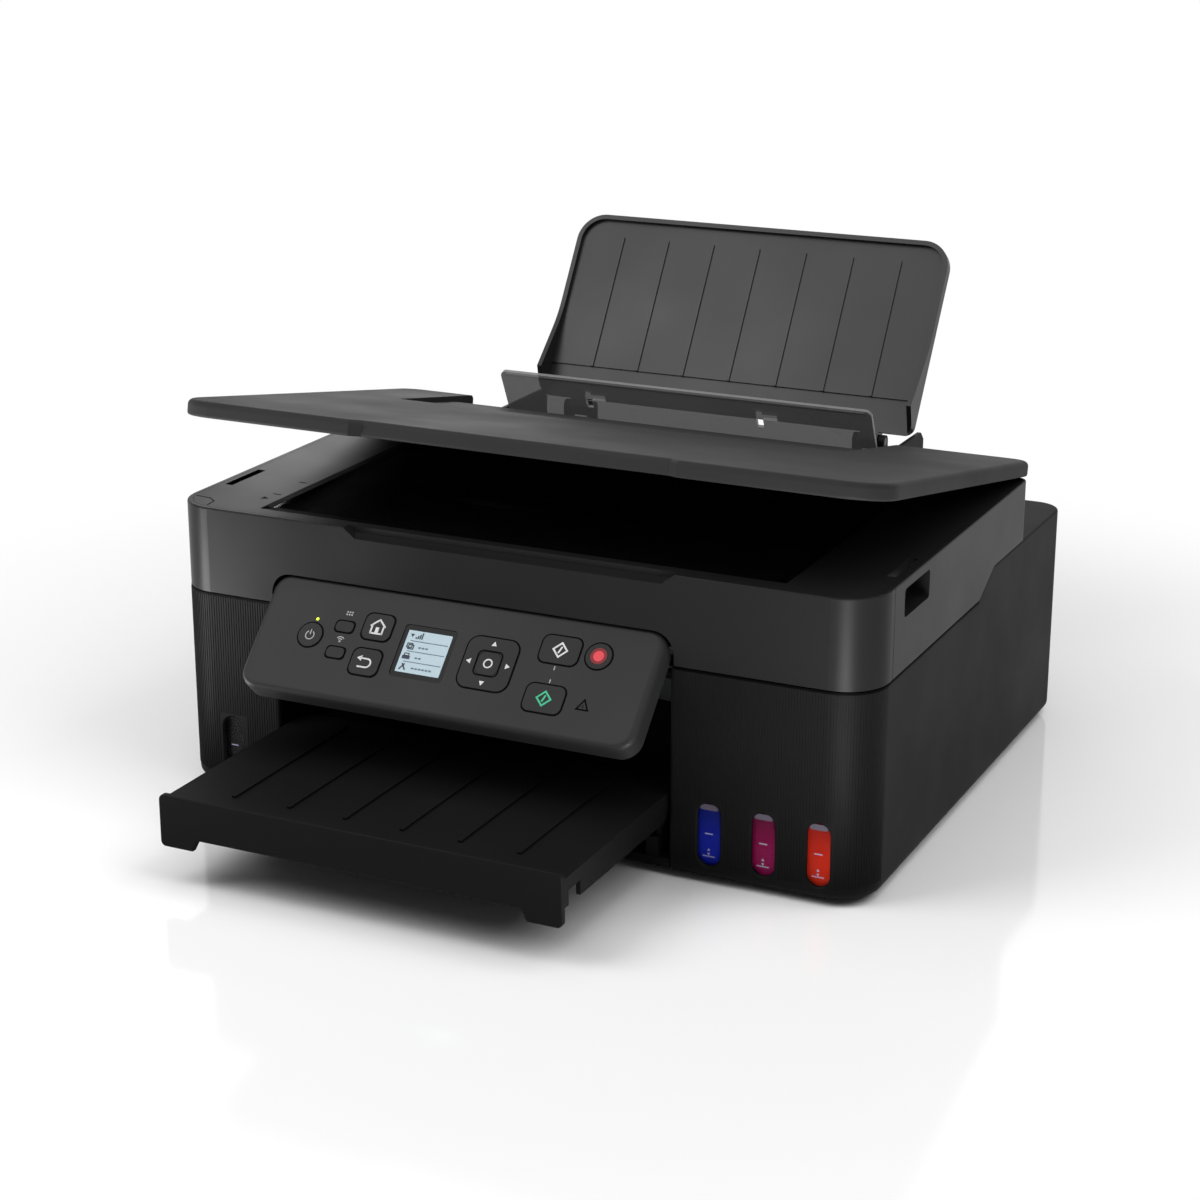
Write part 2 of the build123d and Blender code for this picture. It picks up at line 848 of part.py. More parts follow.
# Print engine
def chassis():
    half = chassis_half_width
    outer_back = chassis_back + chassis_sheet
    frame = block(-half, half, chassis_back, outer_back, floor_top, chassis_top)
    frame -= block(-platen_half_length - chassis_slot_left, platen_half_length + chassis_slot_right,
                   chassis_back - past, outer_back + past, chassis_slot_low, chassis_slot_high)
    for x0 in (-half - chassis_sheet, half):
        cheek = block(x0, x0 + chassis_sheet, chassis_front, outer_back, floor_top, chassis_top)
        frame += fillet(cheek.edges().filter_by(Axis.X).group_by(Axis.Z)[-1].sort_by(Axis.Y)[0:1],
                        chassis_corner)
    reach = half + 2 * chassis_sheet
    frame -= rod_x(rail_y, rail_z, rail_radius + seat_gap, -reach, reach)
    frame -= rod_x(feed_y, feed_z, roller_shaft_radius + run_gap, -reach, reach)
    frame -= rod_x(exit_y, exit_z, exit_shaft_radius + run_gap, -reach, reach)
    frame -= rod_x(motor_y, motor_z, motor_shaft_radius + run_gap, -reach, 0)
    stud_front = belt_y - pulley_flange - past
    frame += rod_y(-pulley_half_span, pulley_z, motor_shaft_radius, stud_front, outer_back)
    return frame - rod_y(pulley_half_span, pulley_z, pulley_hole, chassis_back - past, outer_back + past)


def guide_rail():
    reach = chassis_half_width + chassis_sheet
    return rod_x(rail_y, rail_z, rail_radius, -reach, reach)


def feed_roller():
    end = chassis_half_width + chassis_sheet
    roller = rod_x(feed_y, feed_z, roller_shaft_radius, gear_x - past, end)
    return roller + rod_x(feed_y, feed_z, feed_radius, -platen_half_length - feed_overrun,
                          platen_half_length)


def exit_roller():
    end = chassis_half_width + chassis_sheet
    roller = rod_x(exit_y, exit_z, exit_shaft_radius, -end, end)
    pitch = 2 * platen_half_length / exit_tyres
    for number in range(exit_tyres):
        x = -platen_half_length + (number + 0.5) * pitch
        roller += rod_x(exit_y, exit_z, exit_tyre_radius, x - exit_tyre_width / 2, x + exit_tyre_width / 2)
    return roller


def platen():
    low = platen_top - platen_thickness
    bed_top = platen_top - platen_rib_height
    end = carriage_park - purge_width / 2 - platen_end_gap
    bed = block(-chassis_half_width, end, platen_front, platen_rear, low, bed_top)
    pitch = 2 * platen_half_length / platen_ribs
    for number in range(platen_ribs + 1):
        x0 = -platen_half_length + number * pitch - platen_rib_width / 2
        rib = block(x0, x0 + platen_rib_width, platen_front + platen_rib_inset,
                    platen_rear - platen_rib_inset,
                    low, platen_top)
        bed += rib & block(-chassis_half_width, end, platen_front, platen_rear, low, platen_top)
    for x in (-platen_half_length, end - platen_leg):
        bed += block(x, x + platen_leg, platen_front, platen_rear, floor_top, bed_top)
    return bed


def gear(teeth, bore):
    # A spur gear about Z with straight-sided teeth; the first tooth points along +X.
    pitch_radius = gear_module * teeth / 2
    root = pitch_radius - gear_dedendum * gear_module
    tip = pitch_radius + gear_addendum * gear_module
    step = 2 * math.pi / teeth
    corners = ((root, -gear_root_share), (tip, -gear_tip_share), (tip, gear_tip_share),
               (root, gear_root_share))
    points = []
    for number in range(teeth):
        for radius, share in corners:
            angle = (number + share) * step
            points.append((radius * math.cos(angle), radius * math.sin(angle)))
    face = make_face(Polyline(*points, close=True)) - Circle(bore)
    return extrude(face, gear_width)


def feed_gear():
    wheel = gear(gear_teeth, roller_shaft_radius + seat_gap)
    ring = (gear_module * gear_teeth / 2 + roller_shaft_radius) / 2
    for number in range(gear_holes):
        spot = Rot(0, 0, 360 * number / gear_holes) * Pos(ring, 0, gear_width / 2)
        wheel -= spot * Cylinder(gear_hole_radius, 2 * gear_width)
    return Pos(gear_x, feed_y, feed_z) * Rot(0, 90, 0) * wheel


def motor_pinion():
    # Under the feed gear, with a gap between two teeth facing it, on its own shaft.
    half_tooth = 180 / pinion_teeth
    wheel = Rot(0, 90, 0) * Rot(0, 0, 180 + half_tooth) * gear(pinion_teeth, motor_shaft_radius)
    wheel = Pos(gear_x, motor_y, motor_z) * wheel
    return wheel + rod_x(motor_y, motor_z, motor_shaft_radius, gear_x,
                         -chassis_half_width + motor_length / 2)


def feed_motor():
    x0 = -chassis_half_width
    x1 = x0 + motor_length
    can = rod_x(motor_y, motor_z, motor_radius, x0, x1)
    can += rod_x(motor_y, motor_z, motor_radius / 2, x1, x1 + motor_end_cap)
    return can - rod_x(motor_y, motor_z, motor_shaft_radius + run_gap, x0 - past,
                       x0 + motor_length / 2 + past)


def pulley():
    rim = rod_y(0, pulley_z, pulley_radius, belt_y, belt_y + belt_width)
    flange = pulley_radius + belt_thickness + pulley_flange_rise
    for y in (belt_y - pulley_flange, belt_y + belt_width):
        rim += rod_y(0, pulley_z, flange, y, y + pulley_flange)
    return rim


def idler_pulley():
    bore = rod_y(0, pulley_z, motor_shaft_radius + run_gap, belt_y - belt_width, belt_y + 2 * belt_width)
    return Pos(-pulley_half_span, 0, 0) * (pulley() - bore)


def drive_pulley():
    end = chassis_back + chassis_sheet + motor_length / 2
    return Pos(pulley_half_span, 0, 0) * (pulley() + rod_y(0, pulley_z, motor_shaft_radius, belt_y, end))


def carriage_motor():
    y0 = chassis_back + chassis_sheet
    can = rod_y(pulley_half_span, pulley_z, motor_radius, y0, y0 + motor_length)
    can = can & block(0, right, 0, rear, 0, deck_height - wall - motor_clearance)
    bore_end = y0 + motor_length / 2 + past
    return can - rod_y(pulley_half_span, pulley_z, motor_shaft_radius + run_gap, y0 - past, bore_end)


def timing_belt():
    inner = pulley_radius + belt_gap
    outer = inner + belt_thickness
    span = 2 * pulley_half_span
    loop = SlotCenterToCenter(span, 2 * outer) - SlotCenterToCenter(span, 2 * inner)
    slack = 2 * belt_gap
    return front_shape(Pos(0, pulley_z) * loop, belt_y + slack, belt_y + belt_width - slack)


def head_places():
    offset_x = (carriage_width - carriage_wall) / 4
    return (carriage_park - offset_x, carriage_park + offset_x)


def carriage():
    x0 = carriage_park - carriage_width / 2
    x1 = carriage_park + carriage_width / 2
    box = block(x0, x1, carriage_front, carriage_rear, carriage_low, carriage_high)
    box = fillet(box.edges().filter_by(Axis.X).group_by(Axis.Z)[-1].sort_by(Axis.Y)[0:1], carriage_nose)
    half = (carriage_width - 3 * carriage_wall) / 4
    slot = nozzle_width / 2 + head_gap
    for x in head_places():
        box -= block(x - half, x + half, carriage_front + carriage_wall, carriage_rear - carriage_wall,
                     carriage_low + carriage_wall, carriage_high + past)
        box -= block(x - slot, x + slot, nozzle_y0 - head_gap, nozzle_y1 + head_gap,
                     carriage_low - past, carriage_low + 2 * carriage_wall)
    box += rod_x(rail_y, rail_z, bush_radius, x0, x1)
    box += block(x0, x1, carriage_rear - past, rail_y, rail_z - carriage_neck / 2,
                 rail_z + carriage_neck / 2)
    belt_z = pulley_z - pulley_radius - belt_gap - belt_thickness / 2
    clamp = clamp_length / 2
    box += block(carriage_park - clamp, carriage_park + clamp, rail_y, belt_y + belt_width,
                 belt_z - clamp_wall, belt_z + clamp_wall)
    slit = belt_thickness / 2 + fit_gap
    box -= block(carriage_park - clamp_length, carriage_park + clamp_length, belt_y - fit_gap,
                 belt_y + belt_width + past, belt_z - slit, belt_z + slit)
    return box - rod_x(rail_y, rail_z, rail_radius + run_gap, x0 - past, x1 + past)


def print_head(x):
    low = carriage_low + carriage_wall
    head = block(x - head_width / 2, x + head_width / 2, head_y0, head_y1, low, low + head_height)
    head = fillet(head.edges().filter_by(Axis.X).group_by(Axis.Z)[-1], head_radius)
    nozzle = nozzle_width / 2
    return head + block(x - nozzle, x + nozzle, nozzle_y0, nozzle_y1, carriage_low - nozzle_drop, low)


def purge_unit():
    # Capping station: a hollow stand with a shallow cup under each parked head.
    x0 = carriage_park - purge_width / 2
    x1 = carriage_park + purge_width / 2
    top = floor_top + purge_height
    unit = block(x0, x1, platen_front, platen_rear, floor_top, top)
    unit -= block(x0 + purge_wall, x1 - purge_wall, platen_front - past, platen_rear - purge_wall,
                  floor_top + purge_floor, top - purge_roof)
    y0 = platen_front + purge_cap_front
    y1 = y0 + purge_cap_length
    half = purge_cap_width / 2
    for x in head_places():
        cup = block(x - half, x + half, y0, y1, top, top + purge_cap_height)
        cup = fillet(cup.edges().filter_by(Axis.Z), purge_cap_radius)
        inner = half - purge_cap_wall
        unit += cup - block(x - inner, x + inner, y0 + purge_cap_wall, y1 - purge_cap_wall,
                            top + purge_cap_height / 2, top + purge_cap_height + past)
    return unit


def power_supply():
    x0 = left + wall + supply_gap
    y1 = rear - wall - supply_gap
    y0 = y1 - supply_depth
    top = floor_top + supply_height
    case = block(x0, x0 + supply_width, y0, y1, floor_top, top)
    case = fillet(case.edges().filter_by(Axis.Z), supply_radius)
    first = (supply_width - (supply_vents - 1) * supply_vent_pitch - supply_vent) / 2
    for number in range(supply_vents):
        x = x0 + first + number * supply_vent_pitch
        case -= block(x, x + supply_vent, y0 + supply_vent_margin, y1 - supply_vent_margin,
                      top - supply_vent_depth, top + past)
    return case


def logic_board():
    # Stands behind the chassis on the floor, with its main chips.
    y0 = chassis_back + 2 * chassis_sheet + board_standoff
    y1 = y0 + board_thickness
    board = block(mouth_left - board_left, mouth_left + board_right, y0, y1, floor_top,
                  floor_top + board_height)
    z0 = floor_top + chip_rise
    for place in chip_places:
        x0 = mouth_left + place
        board += block(x0, x0 + chip_size, y1, y1 + chip_height, z0, z0 + chip_size)
    return board


# Rear wall fittings
def rear_cover_face():
    x0 = rear_cover_x - rear_cover_width / 2
    x1 = rear_cover_x + rear_cover_width / 2
    return front_rectangle(x0, x1, rear_cover_low, rear_cover_low + rear_cover_height, rear_cover_radius)


def rear_cover():
    x0 = rear_cover_x - rear_cover_width / 2
    x1 = rear_cover_x + rear_cover_width / 2
    inner = rear - wall - rear_cover_lip_thickness
    cover = front_shape(rear_cover_face(), inner, rear)
    cover += front_shape(offset(rear_cover_face(), rear_cover_lip), inner, rear - wall - seat_gap)
    grip_z = rear_cover_low + rear_cover_height - rear_grip_drop
    half = rear_grip_width / 2
    for x in (x0 + rear_grip_inset, x1 - rear_grip_inset):
        grip = front_rectangle(x - half, x + half, grip_z, grip_z + rear_grip_height, rear_grip_radius)
        cover -= front_shape(grip, rear - rear_grip_depth, rear + past)
    for number in range(rear_grooves):
        z = rear_cover_low + rear_groove_low + number * rear_groove_pitch
        cover -= block(x0 + rear_groove_inset, x1 - rear_groove_inset, rear - rear_groove_depth,
                       rear + past,
                       z, z + rear_groove_width)
    return cover


def socket_collar(x0, x1, z0, z1):
    # The rim that holds a socket behind the rear wall.
    y1 = rear - wall - seat_gap
    rim = block(x0 - collar_reach, x1 + collar_reach, y1 - collar_thickness, y1, z0 - collar_reach,
                z1 + collar_reach)
    return rim - block(x0, x1, y1 - 2 * collar_thickness, rear, z0, z1)


def power_inlet():
    # Two-pin mains inlet with a figure-of-eight socket.
    x0 = inlet_x - inlet_width / 2
    x1 = inlet_x + inlet_width / 2
    z0 = inlet_z - inlet_height / 2
    z1 = inlet_z + inlet_height / 2
    body = block(x0, x1, rear - inlet_depth, rear, z0, z1)
    socket = Pos(inlet_x, inlet_z) * SlotOverall(inlet_socket_width, inlet_socket_height)
    bottom = rear - inlet_socket_depth
    body -= front_shape(socket, bottom, rear + past)
    for x in (inlet_x - inlet_pin_pitch / 2, inlet_x + inlet_pin_pitch / 2):
        body += rod_y(x, inlet_z, inlet_pin_radius, bottom - past, rear - inlet_pin_recess)
    return body + socket_collar(x0, x1, z0, z1)


def usb_port():
    x0 = port_x - port_width / 2
    x1 = port_x + port_width / 2
    z0 = port_z - port_height / 2
    z1 = port_z + port_height / 2
    body = block(x0, x1, rear - port_depth, rear, z0, z1)
    socket = front_rectangle(port_x - port_socket_width / 2, port_x + port_socket_width / 2,
                             port_z - port_socket_height / 2, port_z + port_socket_height / 2)
    socket = chamfer(socket.vertices().group_by(Axis.Y)[-1], port_socket_chamfer)
    bottom = rear - port_socket_depth
    body -= front_shape(socket, bottom, rear + past)
    tongue = block(port_x - port_tongue / 2, port_x + port_tongue / 2, bottom - past,
                   rear - port_tongue_recess,
                   port_z - port_tongue_thickness / 2, port_z + port_tongue_thickness / 2)
    return body + tongue + socket_collar(x0, x1, z0, z1)


# Rear feeder
def feeder_point(along, off):
    # A point on the leaning paper plane: along runs down it, off stands out towards the front.
    lean = math.radians(feeder_lean)
    y = feeder_top_y - along * math.sin(lean) - off * math.cos(lean)
    z = feeder_top_z - along * math.cos(lean) + off * math.sin(lean)
    return y, z


def feeder_strip(along0, along1, off0, off1, x0, x1):
    corners = [(along0, off0), (along1, off0), (along1, off1), (along0, off1)]
    return side_shape([feeder_point(*corner) for corner in corners], x0, x1)


def support_pivot():
    return feeder_point(0, -support_pivot_back)


def rear_tray():
    # The hopper: two cheeks, a leaning plate, low front and rear walls and the support's ears.
    inner_left = hopper_left + hopper_wall
    inner_right = hopper_right - hopper_wall
    y_low, z_low = feeder_point(feeder_plate_end, -feeder_plate)
    outline = [(hopper_front, hopper_top), (hopper_front, deck_height - hopper_front_drop),
               (y_low - hopper_toe, z_low), (y_low + hopper_toe, z_low),
               (hopper_rear, deck_height - hopper_rear_drop), (hopper_rear, hopper_top - hopper_corner),
               (hopper_rear - hopper_corner, hopper_top)]
    hopper = Part()
    for x0 in (hopper_left, inner_right):
        hopper += side_shape(outline, x0, x0 + hopper_wall)
    hopper += feeder_strip(feeder_plate_start, feeder_plate_end, -feeder_plate, 0, inner_left, inner_right)
    hopper += block(inner_left, inner_right, hopper_front, hopper_front + hopper_wall,
                    deck_height - hopper_toe, deck_height + hopper_front_lip)
    rear_wall_top = deck_height + hopper_rear_lip
    hopper += block(inner_left, inner_right, hopper_rear - hopper_wall, hopper_rear,
                    deck_height - hopper_rear_drop, rear_wall_top)
    for x0 in (hopper_left - hopper_flange, hopper_right):
        hopper += block(x0, x0 + hopper_flange, hopper_front, hopper_rear,
                        deck_height, deck_height + hopper_flange_height)
    pivot_y, pivot_z = support_pivot()
    ear_y0 = pivot_y - support_ear_radius
    ear_y1 = pivot_y + support_ear_radius
    ear_low = feeder_top_z - support_ear_drop
    for x in support_lugs:
        for side in (-1, 1):
            edge = x + side * (support_lug_width / 2 + fit_gap)
            x0 = min(edge, edge + side * support_ear_width)
            x1 = x0 + support_ear_width
            ear = block(x0, x1, ear_y0, hopper_rear, ear_low, rear_wall_top)
            ear += block(x0, x1, ear_y0, ear_y1, rear_wall_top, pivot_z)
            ear += rod_x(pivot_y, pivot_z, support_ear_radius, x0, x1)
            hopper += ear
    for x in support_lugs:
        hopper -= rod_x(pivot_y, pivot_z, support_pin_radius + run_gap, x - support_lug_width,
                        x + support_lug_width)
    x0 = hopper_left - past
    x1 = hopper_right + past
    hopper -= rod_x(slot_cover_axis_y, slot_cover_axis_z, slot_cover_rod_radius + run_gap, x0, x1)
    roller_y, roller_z = pickup_axis()
    return hopper - rod_x(roller_y, roller_z, pickup_shaft_radius + run_gap, x0, x1)


def pickup_axis():
    return feeder_point(pickup_station, pickup_tyre_radius + pickup_nip)


def pickup_roller():
    y, z = pickup_axis()
    roller = rod_x(y, z, pickup_shaft_radius, hopper_left, hopper_right)
    for side in (-1, 1):
        x = paper_centre + side * pickup_tyre_spacing / 2
        roller += rod_x(y, z, pickup_tyre_radius, x - pickup_tyre_width / 2, x + pickup_tyre_width / 2)
    return roller


def paper_guide(side):
    # A fence that stands on the leaning plate, at the edge of the widest sheet.
    edge = paper_centre + side * (paper_width / 2 + guide_play)
    x0 = min(edge, edge + side * guide_fence)
    end = guide_start + guide_length
    fence = feeder_strip(guide_start, end, fit_gap, guide_height, x0, x0 + guide_fence)
    foot_x0, foot_x1 = sorted((edge, edge - side * guide_foot_width))
    return fence + feeder_strip(end - guide_length / 2, end, fit_gap, fit_gap + guide_foot, foot_x0,
                                foot_x1)


def slot_cover():
    # A smoked flap along the feed slot, leaning forward, with two latch cut-outs and a bead along its top.
    y = slot_cover_axis_y
    z = slot_cover_axis_z
    x0 = paper_centre - slot_cover_width / 2
    x1 = paper_centre + slot_cover_width / 2
    top = z + slot_cover_height
    y0 = y - slot_cover_thickness / 2
    y1 = y + slot_cover_thickness / 2
    flap = block(x0, x1, y0, y1, z, top)
    flap = fillet(flap.edges().filter_by(Axis.Y).group_by(Axis.Z)[-1], slot_cover_corner)
    for x in slot_cover_cuts:
        low = z + slot_cover_cut_low
        flap -= block(x, x + slot_cover_cut_width, y0 - past, y1 + past, low, low + slot_cover_cut_height)
        low = z + slot_cover_bar_low
        flap -= block(x, x + slot_cover_bar_width, y0 - past, y1 + past, low, low + slot_cover_bar_height)
    flap += rod_x(y, top - slot_cover_bead, slot_cover_bead, x0 + slot_cover_corner, x1 - slot_cover_corner)
    flap += rod_x(y, z, slot_cover_rod_radius, hopper_left + fit_gap, hopper_right - fit_gap)
    return swing(flap, y, z, slot_cover_lean)


def paper_support():
    # A leaning plate with rims that stand forward at its sides and top and deepen towards the foot.
    pivot_y, pivot_z = support_pivot()
    y0 = pivot_y - support_pivot_back
    y1 = y0 + support_skin
    z0 = pivot_z + support_rise
    z1 = pivot_z + support_length
    outline = front_rectangle(support_left, support_right, z0, z1)
    outline = fillet(outline.vertices().group_by(Axis.Y)[-1], support_top_radius)
    outline = fillet(outline.vertices().group_by(Axis.Y)[0], support_foot_radius)
    bend = (y0 - support_rim_top, pivot_z + support_rim_bend)
    end = (y0 - support_rim_foot, pivot_z + support_rim_end)
    profile = side_face([(y1, z0), (y1, z1), (y0 - support_rim_top, z1), bend, end, (y0, z0)])
    corner = profile.vertices().sort_by_distance((bend[0], bend[1], 0))[0]
    profile = fillet([corner], support_rim_curve)
    shell = extrude(Plane.YZ.offset(support_left) * profile, support_width)
    shell &= front_shape(outline, y0 - 2 * support_rim_foot, y1)
    inside = front_rectangle(support_left + support_rim, support_right - support_rim, z0 - support_rim,
                             z1 - support_rim)
    inside = fillet(inside.vertices().group_by(Axis.Y)[-1], support_top_radius - support_rim)
    shell -= front_shape(inside, y0 - 2 * support_rim_foot, y0)
    x0 = support_left + support_rim
    x1 = support_right - support_rim
    shell -= block(x0, x1, y0 - past, y0 + support_crease_depth, z0 - past, pivot_z + support_crease)
    pitch = (support_right - support_left) / (support_ribs + 1)
    for number in range(support_ribs):
        x = support_left + (number + 1) * pitch
        shell += block(x - support_rib_width / 2, x + support_rib_width / 2, y0 - support_rib_height, y1,
                       pivot_z + support_crease, z1 - support_rib_margin)
    half = support_lug_width / 2
    for x in support_lugs:
        lug = rod_x(pivot_y, pivot_z, support_lug_radius, x - half, x + half)
        lug += block(x - half, x + half, y0 + support_crease_depth, pivot_y + support_lug_heel, pivot_z,
                     z0 + support_rim)
        reach = half + fit_gap + support_ear_width
        shell += lug + rod_x(pivot_y, pivot_z, support_pin_radius, x - reach, x + reach)
    return swing(shell, pivot_y, pivot_z, -feeder_lean)


# Output tray
def output_tray():
    # A ribbed plate on two side rails, behind a front plate that stands on two feet.
    x0 = mouth_left + tray_side_gap
    x1 = mouth_right - tray_side_gap
    y0 = tray_front - tray_pull
    y1 = y0 + tray_length
    top = tray_floor_low + tray_floor
    tray = block(x0, x1, y0 + tray_plate / 2, y1, tray_floor_low, top)
    gap = y0 + tray_plate + tray_gap_front
    rail = [(y0 + tray_plate / 2, tray_skirt_low), (gap, tray_skirt_low),
            (gap, tray_skirt_low + tray_gap_height),
            (gap + tray_gap_length, tray_skirt_low + tray_gap_height),
            (gap + tray_gap_length, tray_skirt_low),
            (y1 - tray_skirt_taper, tray_skirt_low), (y1, tray_floor_low), (y1, top),
            (y0 + tray_plate / 2, top)]
    for x in (x0, x1 - tray_skirt):
        tray += side_shape(rail, x, x + tray_skirt)
    face = front_rectangle(x0, x1, tray_plate_low, tray_plate_high, tray_plate_radius)
    arch_top = tray_plate_low + tray_foot_height
    arch = [(x0 + tray_foot, tray_plate_low - past), (x0 + tray_foot + tray_foot_slope, arch_top),
            (x1 - tray_foot - tray_foot_slope, arch_top), (x1 - tray_foot, tray_plate_low - past)]
    face -= make_face(Polyline(*arch, close=True))
    plate = front_shape(face, y0, y0 + tray_plate)
    tray += fillet(plate.faces().sort_by(Axis.Y)[0].edges(), tray_plate_edge)
    pitch = (x1 - x0) / (tray_ribs + 1)
    for number in range(tray_ribs):
        x = x0 + (number + 1) * pitch
        tray += block(x - tray_rib_width / 2, x + tray_rib_width / 2, y0 + tray_rib_front,
                      y1 - tray_rib_rear,
                      tray_floor_low, top + tray_rib_height)
    return tray


# Scanner unit
def scanner_plan(inset):
    return plan(scanner_rear, scanner_rear_radius, inset)


def panel_recess(grow):
    # The hollow in the fascia that the panel's top edge turns in.
    reach = math.hypot(panel_above_axis, panel_ahead_of_axis)
    radius = reach - panel_edge_radius / 2 + panel_recess_gap + grow
    x0 = mouth_left - panel_recess_side - grow
    x1 = mouth_right + panel_recess_side + grow
    low = scanner_low - past
    high = panel_axis_z + radius
    ahead = front - radius
    points = [(panel_axis_y + radius, panel_axis_z), (panel_axis_y + radius, low), (ahead, low),
              (ahead, high),
              (panel_axis_y, high), (panel_axis_y, panel_axis_z)]
    face = side_face(points) + Pos(panel_axis_y, panel_axis_z) * Circle(radius)
    hollow = extrude(Plane.YZ.offset(x0) * face, x1 - x0)
    outline = front_rectangle(x0, x1, low - panel_length, high, panel_recess_corner + grow)
    return hollow & front_shape(outline, front - 2 * radius, front + 2 * radius)


def scanner_case():
    case = upright(scanner_plan(0), scanner_low, scanner_top_height) & above_seam(seam_gap)
    case = fillet(case.edges().group_by(Axis.Z)[-1], scanner_edge)
    inside = upright(scanner_plan(scanner_wall), scanner_low, scanner_top_height + past)
    case -= inside & above_seam(seam_gap + scanner_floor)
    case += panel_recess(panel_recess_wall) & upright(scanner_plan(scanner_edge), scanner_low,
                                                      scanner_top_height)
    case -= panel_recess(0)
    root = panel_recess_side + panel_recess_wall / 2
    for x0, x1 in ((mouth_left - root, panel_left + panel_pin_seat),
                   (panel_right - panel_pin_seat, mouth_right + root)):
        case += rod_x(panel_axis_y, panel_axis_z, panel_pin_radius, x0, x1)
    pod = block(right - grip_depth - grip_shell, right - scanner_wall / 2, grip_y0 - grip_shell,
                grip_y1 + grip_shell,
                grip_low - grip_shell, top_low)
    case = case + both_sides(pod) - both_sides(side_grip())
    groove_y = front + fascia_depth
    groove = block(right - fascia_groove_depth, right + past, groove_y, groove_y + fascia_groove, 0,
                   ceiling)
    case -= both_sides(groove)
    case += block(lift_left - lift_flare, lift_right + lift_flare, front + lift_wall / 2,
                  front + lift_depth + lift_wall, lift_low - lift_wall, top_low)
    case -= lift_scoop()
    case += block(left + scan_rail_inset, right - scan_rail_inset, scan_rail_y - scan_rail_width / 2,
                  scan_rail_y + scan_rail_width / 2, scanner_low + scanner_floor / 2, scan_rail_top)
    for x, y in post_places():
        case += rod_z(x, y, post_radius, scanner_low, top_low) & above_seam(seam_gap + scanner_floor / 2)
    for x in knuckle_places:
        case += scanner_knuckle(x)
    for x in lid_ear_places:
        case += lid_ear(x)
    return case


def scanner_knuckle(x):
    x0 = x - knuckle_width / 2
    x1 = x + knuckle_width / 2
    arm = block(x0, x1, scanner_rear - past, scanner_axis_y, scanner_axis_z - knuckle_radius,
                scanner_axis_z + knuckle_radius)
    arm += rod_x(scanner_axis_y, scanner_axis_z, knuckle_radius, x0, x1)
    return arm - rod_x(scanner_axis_y, scanner_axis_z, scanner_pin_radius + run_gap, x0 - past, x1 + past)


def lid_ear(x):
    x0 = x - lid_ear_width / 2
    x1 = x + lid_ear_width / 2
    ear = block(x0, x1, scanner_rear - past, lid_axis_y + lid_ear_radius, scanner_top_height - lid_ear_drop,
                lid_axis_z)
    ear += rod_x(lid_axis_y, lid_axis_z, lid_ear_radius, x0, x1)
    return ear - rod_x(lid_axis_y, lid_axis_z, lid_pin_radius + run_gap, x0 - past, x1 + past)


def side_grip():
    # The finger hole through the right wall, met by a slot through the top.
    x0 = right - grip_depth
    hole = block(x0, right + past, grip_y0, grip_y1, grip_low, grip_high)
    hole = fillet(hole.edges().filter_by(Axis.X), grip_radius)
    return hole + block(x0, right - grip_bar, grip_y0 + grip_slot_inset, grip_y1 - grip_slot_inset,
                        grip_high - grip_radius, scanner_top_height + past)


def lift_scoop():
    # The finger scoop under the lid's front edge, with sloping ends.
    y0 = front - past
    y1 = front + lift_depth
    high = scanner_top_height + past
    floor = side_shape([(y0, lift_low), (y1, lift_low + lift_slope), (y1, high), (y0, high)],
                       lift_left - lift_flare, lift_right + lift_flare)
    ends = [(lift_left, lift_low), (lift_right, lift_low), (lift_right + lift_flare, high),
            (lift_left - lift_flare, high)]
    return floor & front_shape(make_face(Polyline(*ends, close=True)), y0, y1)


def post_places():
    x = right - post_inset
    y0 = front + post_front
    y1 = scanner_rear - post_rear
    return [(-x, y0), (x, y0), (-x, y1), (x, y1), (0, y1)]


def scanner_top():
    plate = upright(scanner_plan(scanner_wall + top_fit), top_low, scanner_top_height)
    plate += block(glass_left - glass_ledge, glass_right + glass_ledge, glass_front - glass_ledge,
                   glass_rear + glass_ledge, top_low - glass_ledge_drop, top_low)
    plate -= block(glass_left, glass_right, glass_front, glass_rear, scanner_top_height - glass_thickness,
                   ceiling)
    plate -= block(glass_left + glass_lip, glass_right - glass_lip, glass_front + glass_lip,
                   glass_rear - glass_lip,
                   0, ceiling)
    return plate - both_sides(side_grip()) - lift_scoop()


def platen_glass():
    return block(glass_left + seat_gap, glass_right - seat_gap, glass_front + seat_gap,
                 glass_rear - seat_gap,
                 scanner_top_height - glass_thickness, scanner_top_height - glass_sink)


def scan_bar():
    # The reading bar, with a window strip on top and two shoes that straddle the rail.
    low = scan_rail_top + fit_gap
    x0 = glass_left + scan_bar_rest - scan_bar_width / 2
    x1 = x0 + scan_bar_width
    y0 = glass_front + scan_bar_margin
    y1 = glass_rear - scan_bar_margin
    top = low + scan_bar_height - scan_bar_drop / 2
    bar = block(x0, x1, y0, y1, low, top)
    inset = scan_bar_window_inset
    bar += block(x0 + inset, x1 - inset, y0 + inset, y1 - inset, low, top + scan_bar_window_rise)
    reach = scan_rail_width / 2 + fit_gap
    for y in (scan_rail_y - reach - scan_bar_shoe, scan_rail_y + reach):
        bar += block(x0 - scan_bar_shoe_reach, x1 + scan_bar_shoe_reach, y, y + scan_bar_shoe,
                     low - scan_bar_shoe_drop, low + scan_bar_shoe / 2)
    return bar


# Lid
def lid_outline():
    y0 = front - past
    y1 = front + lid_grip_depth
    grip = [(lift_left - lid_grip_flare, y0), (lift_left, y1), (lift_right, y1),
            (lift_right + lid_grip_flare, y0)]
    return plan(lid_rear, lid_rear_radius, 0) - make_face(Polyline(*grip, close=True))


